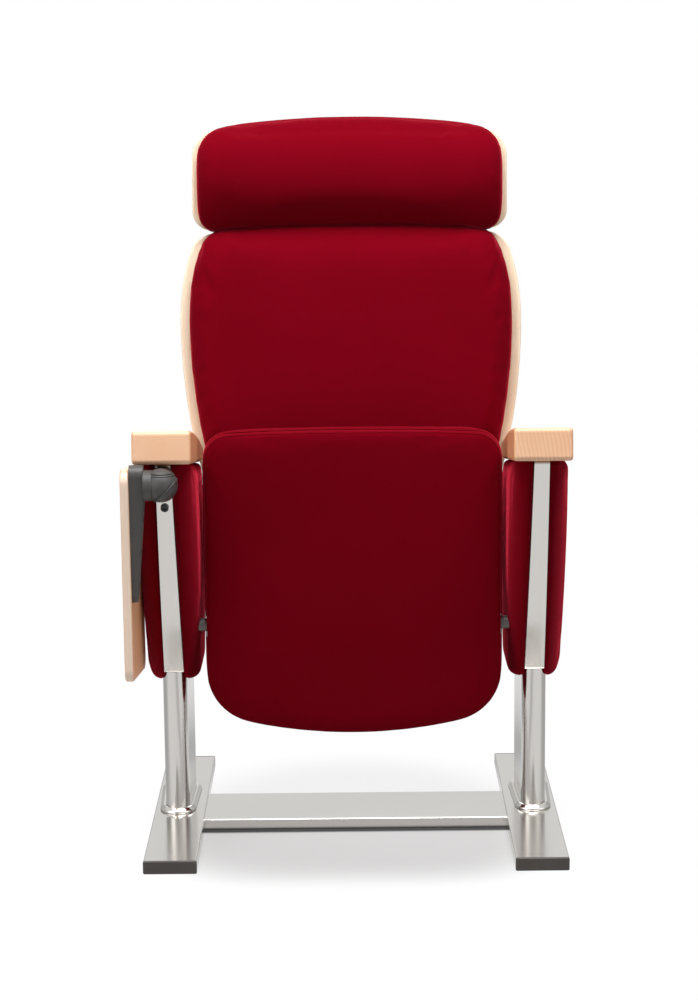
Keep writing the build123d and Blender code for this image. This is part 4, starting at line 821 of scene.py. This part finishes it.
def weld_collar(side):
    """The dressed weld round a column's foot: a bead under the column, then a flared lip."""
    node = side + "_column_weld"
    points = points_of(NODES[node].data)
    low, high = points[:, 2].min(), points[:, 2].max()
    ring = ring_round(points[points[:, 2] < low + WELD_FLOOR][:, :2], WELD_STEP)
    normal = outward(ring)
    verts = []
    for share, rise in WELD_SECTION:
        edge = ring + normal * share * WELD_LEG
        verts += [(x, y, low + rise * (high - low)) for x, y in edge]
    count = len(ring)
    faces = quads(len(WELD_SECTION), count, False)
    faces += [tuple(range(count)), tuple(range(len(verts) - count, len(verts)))]
    bead = new_object(node + "_bead", closed_mesh(node + "_bead", verts, faces), MAT["weld"])
    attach(bead, "stand")
    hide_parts(node)


# The tablet's knuckle is a ball of two halves that meet on a plane across its inclined pin.
KNUCKLE = np.array((-0.280, -0.205, 0.577))
BALL = 0.0250
PIN = (-1, 0, 1)
PARTING = -0.0076
LIP_BELOW = 0.0026
CORDS = (
    # name, body, the plane's direction and its distance from the middle, radius, material
    # The gap and groove cords are thin dark cords painted as the shade down in the parting gap and
    # the slot over the top.
    ("knuckle_gap_shade", "stand", PIN, PARTING, 0.0008, "rubber"),
    ("knuckle_lip", "stand", PIN, PARTING - LIP_BELOW, 0.0013, "black_plastic"),
    ("knuckle_rib", "tablet", (0, 0, 1), 0.0160, 0.0011, "black_plastic"),
    ("knuckle_groove_shade", "tablet", (0, 0, 1), 0.0184, 0.0010, "rubber"),
)


def on_ball(normal, offset):
    """The circle that a plane cuts from the knuckle's ball, as points 5 degrees apart."""
    normal = np.array(normal) / np.linalg.norm(normal)
    first = np.cross(normal, (0.0, 1.0, 0.0))
    first /= np.linalg.norm(first)
    second = np.cross(normal, first)
    turns = np.radians(np.arange(0.0, 360.0, 5.0))
    reach = math.sqrt(BALL ** 2 - offset ** 2)
    return KNUCKLE + normal * offset + reach * (
        np.outer(np.cos(turns), first) + np.outer(np.sin(turns), second))


def knuckle_details():
    """The lip where the knuckle's halves meet and the rib over its top, with thin dark cords
    painted as the shade in their parting gap and in the groove above the rib.
    """
    for name, body, normal, offset, radius, material in CORDS:
        cord = tube(name, on_ball(normal, offset), radius, MAT[material], 8, beside=normal)
        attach(cord, body)


# ------------------------------------------------------------------ floor and light
# What polished metal sees round it: the share of a half turn from the front, and the level.
PANELS = ((0.0, 0.62), (0.04, 0.74), (0.1, 1.0), (0.4, 1.0), (0.5, 0.6), (0.86, 0.5), (0.95, 0.9))
OVERHEAD = 0.9
AMBIENT = 0.07
FLOOR_HALF = 9.0
FLOOR_PAINT = 0.42
# The painted shadow round the crossbar, a grey patch: its middle, its half width and depth, and its
# tones.
SHADE = (0.0, -0.12)
SHADE_SIZE = (0.29, 0.17)
SHADE_SPAN = (0.2, 1.6, 0.3, 1.0)
# A faint painted shade round the base, gone by this reach; it also lets the real shadow through.
SHADE_FADE_SPAN = (0.2, 0.36, 0.86, 1.0)
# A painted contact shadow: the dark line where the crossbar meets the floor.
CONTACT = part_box("crossbar")[0][1] - 0.004
CONTACT_SPAN = (0.003, 0.013)
CONTACT_HALF = 0.24
CONTACT_SHADOW_PAINT = 0.07
# Metal sees the panels in place of the floor beyond this reach.
MIRRORED_SPAN = (0.2, 0.4)
WHITE = (1, 1, 1, 1)
SOFTBOXES = (
    # name, place, aim, size, watts
    ("top", (0.0, -0.75, 3.2), (0, 0, 0.6), (3.2, 1.2), 132),
    ("side_left", (-2.7, -2.2, 1.7), (0, 0, 0.6), (2.2, 3.0), 30),
    ("side_right", (2.9, -2.1, 1.6), (0, 0, 0.6), (2.2, 3.0), 11),
    ("rear", (0.0, 2.6, 2.4), (0, 0, 0.7), (2.4, 1.2), 30),
)


def grey(level):
    return (level, level, level, 1)


def panels(tree, axes):
    """Bright and grey panels round the object, by the direction or place given as X, Y and Z."""
    behind = tree.times(axes[1], -1.0)
    turn = tree.math("ABSOLUTE", tree.math("ARCTAN2", axes[0], behind))
    ramp = tree.node("ValToRGB")
    stops = ramp.color_ramp.elements
    stops.remove(stops[-1])
    for index, (at, level) in enumerate(PANELS):
        stop = stops[0] if index == 0 else stops.new(at)
        stop.position = at
        stop.color = grey(level)
    tree.put(ramp.inputs[0], tree.math("DIVIDE", turn, math.pi))
    return ramp.outputs[0]


def make_floor():
    """A white floor that glows to the camera; round the base it shows its lit grey paint, partly
    the real shadow and partly painted shade: a grey patch round the crossbar and a dark contact
    line under it.
    """
    mesh = bpy.data.meshes.new("floor")
    h = FLOOR_HALF
    mesh.from_pydata([(-h, -h, 0), (h, -h, 0), (h, h, 0), (-h, h, 0)], [], [(0, 1, 2, 3)])
    floor = bpy.data.objects.new("floor", mesh)
    bpy.context.scene.collection.objects.link(floor)
    material = bpy.data.materials.new("floor")
    material.use_nodes = True
    tree = Tree(material.node_tree)
    axes = tree.split(tree.node("NewGeometry").outputs["Position"])
    offs = [tree.math("ABSOLUTE", tree.math("DIVIDE", tree.math("SUBTRACT", axis, middle), half))
            for axis, middle, half in zip(axes, SHADE, SHADE_SIZE)]
    rounds = tree.math("ADD", tree.math("POWER", offs[0], 4.0), tree.math("POWER", offs[1], 2.0))
    # Painted shadow: the floor turns grey in this patch round the crossbar.
    shade = tree.span(rounds, *SHADE_SPAN)
    reach = tree.math("SQRT", tree.squared_sum(axes[0], axes[1]))
    # Painted shade that fades out away from the base.
    shade_fade = tree.span(reach, *SHADE_FADE_SPAN)
    # Painted contact shadow: a dark line along the crossbar's front.
    beyond = tree.math("GREATER_THAN", tree.math("ABSOLUTE", axes[0]), CONTACT_HALF)
    off_line = tree.math("ABSOLUTE", tree.math("SUBTRACT", axes[1], CONTACT))
    line = tree.math("MAXIMUM", tree.span(off_line, *CONTACT_SPAN), beyond)
    share = tree.times(tree.math("MINIMUM", shade, shade_fade), line)
    path = tree.node("LightPath").outputs
    seen = tree.math("MAXIMUM", path["Is Camera Ray"], path["Is Glossy Ray"])
    seen = tree.math("MAXIMUM", seen, path["Is Transmission Ray"])
    mirrored = tree.times(tree.span(reach, *MIRRORED_SPAN), path["Is Glossy Ray"])
    glow = tree.node("Emission")
    tree.put(glow.inputs["Color"], tree.mix(mirrored, WHITE, panels(tree, axes)))
    paint = tree.node("BsdfDiffuse")
    # The dark paint of the painted contact shadow under the crossbar.
    tree.put(paint.inputs["Color"], tree.mix(line, grey(CONTACT_SHADOW_PAINT), grey(FLOOR_PAINT)))
    mix = tree.node("MixShader")
    tree.put(mix.inputs[0], tree.times(share, seen))
    tree.put(mix.inputs[1], paint.outputs[0])
    tree.put(mix.inputs[2], glow.outputs[0])
    tree.put(tree.node("OutputMaterial").inputs["Surface"], mix.outputs[0])
    mesh.materials.append(material)


def softbox(name, at, aim, size, power):
    data = bpy.data.lights.new(name, "AREA")
    data.shape = "RECTANGLE"
    data.size, data.size_y = size
    data.energy = power
    lamp = bpy.data.objects.new(name, data)
    bpy.context.scene.collection.objects.link(lamp)
    lamp.location = at
    lamp.rotation_euler = (Vector(aim) - Vector(at)).to_track_quat("-Z", "Y").to_euler()


def make_light():
    """A white background, dim light from all round, the panels for metal, and four softboxes."""
    world = bpy.data.worlds.new("studio")
    bpy.context.scene.world = world
    world.use_nodes = True
    tree = Tree(world.node_tree)
    axes = tree.split(tree.node("TexCoord").outputs["Generated"])
    around = tree.mix(tree.span(axes[2], 0.35, 0.8), panels(tree, axes), grey(OVERHEAD))
    path = tree.node("LightPath").outputs
    room = tree.mix(path["Is Glossy Ray"], grey(AMBIENT), around)
    seen = tree.math("MAXIMUM", path["Is Camera Ray"], path["Is Transmission Ray"])
    light = tree.node("Background")
    tree.put(light.inputs["Color"], tree.mix(seen, room, WHITE))
    tree.put(tree.node("OutputWorld").inputs["Surface"], light.outputs[0])
    for box in SOFTBOXES:
        softbox(*box)


make_camera()
make_materials()
make_floor()
make_light()
dress_nodes()
COVERS = soft_pieces()
seat_piping(COVERS["seat_underside_pad"])
seat_welt(COVERS["seat_cushion"])
for side in ("left", "right"):
    weld_collar(side)
knuckle_details()

bpy.context.scene.view_settings.view_transform = "Standard"
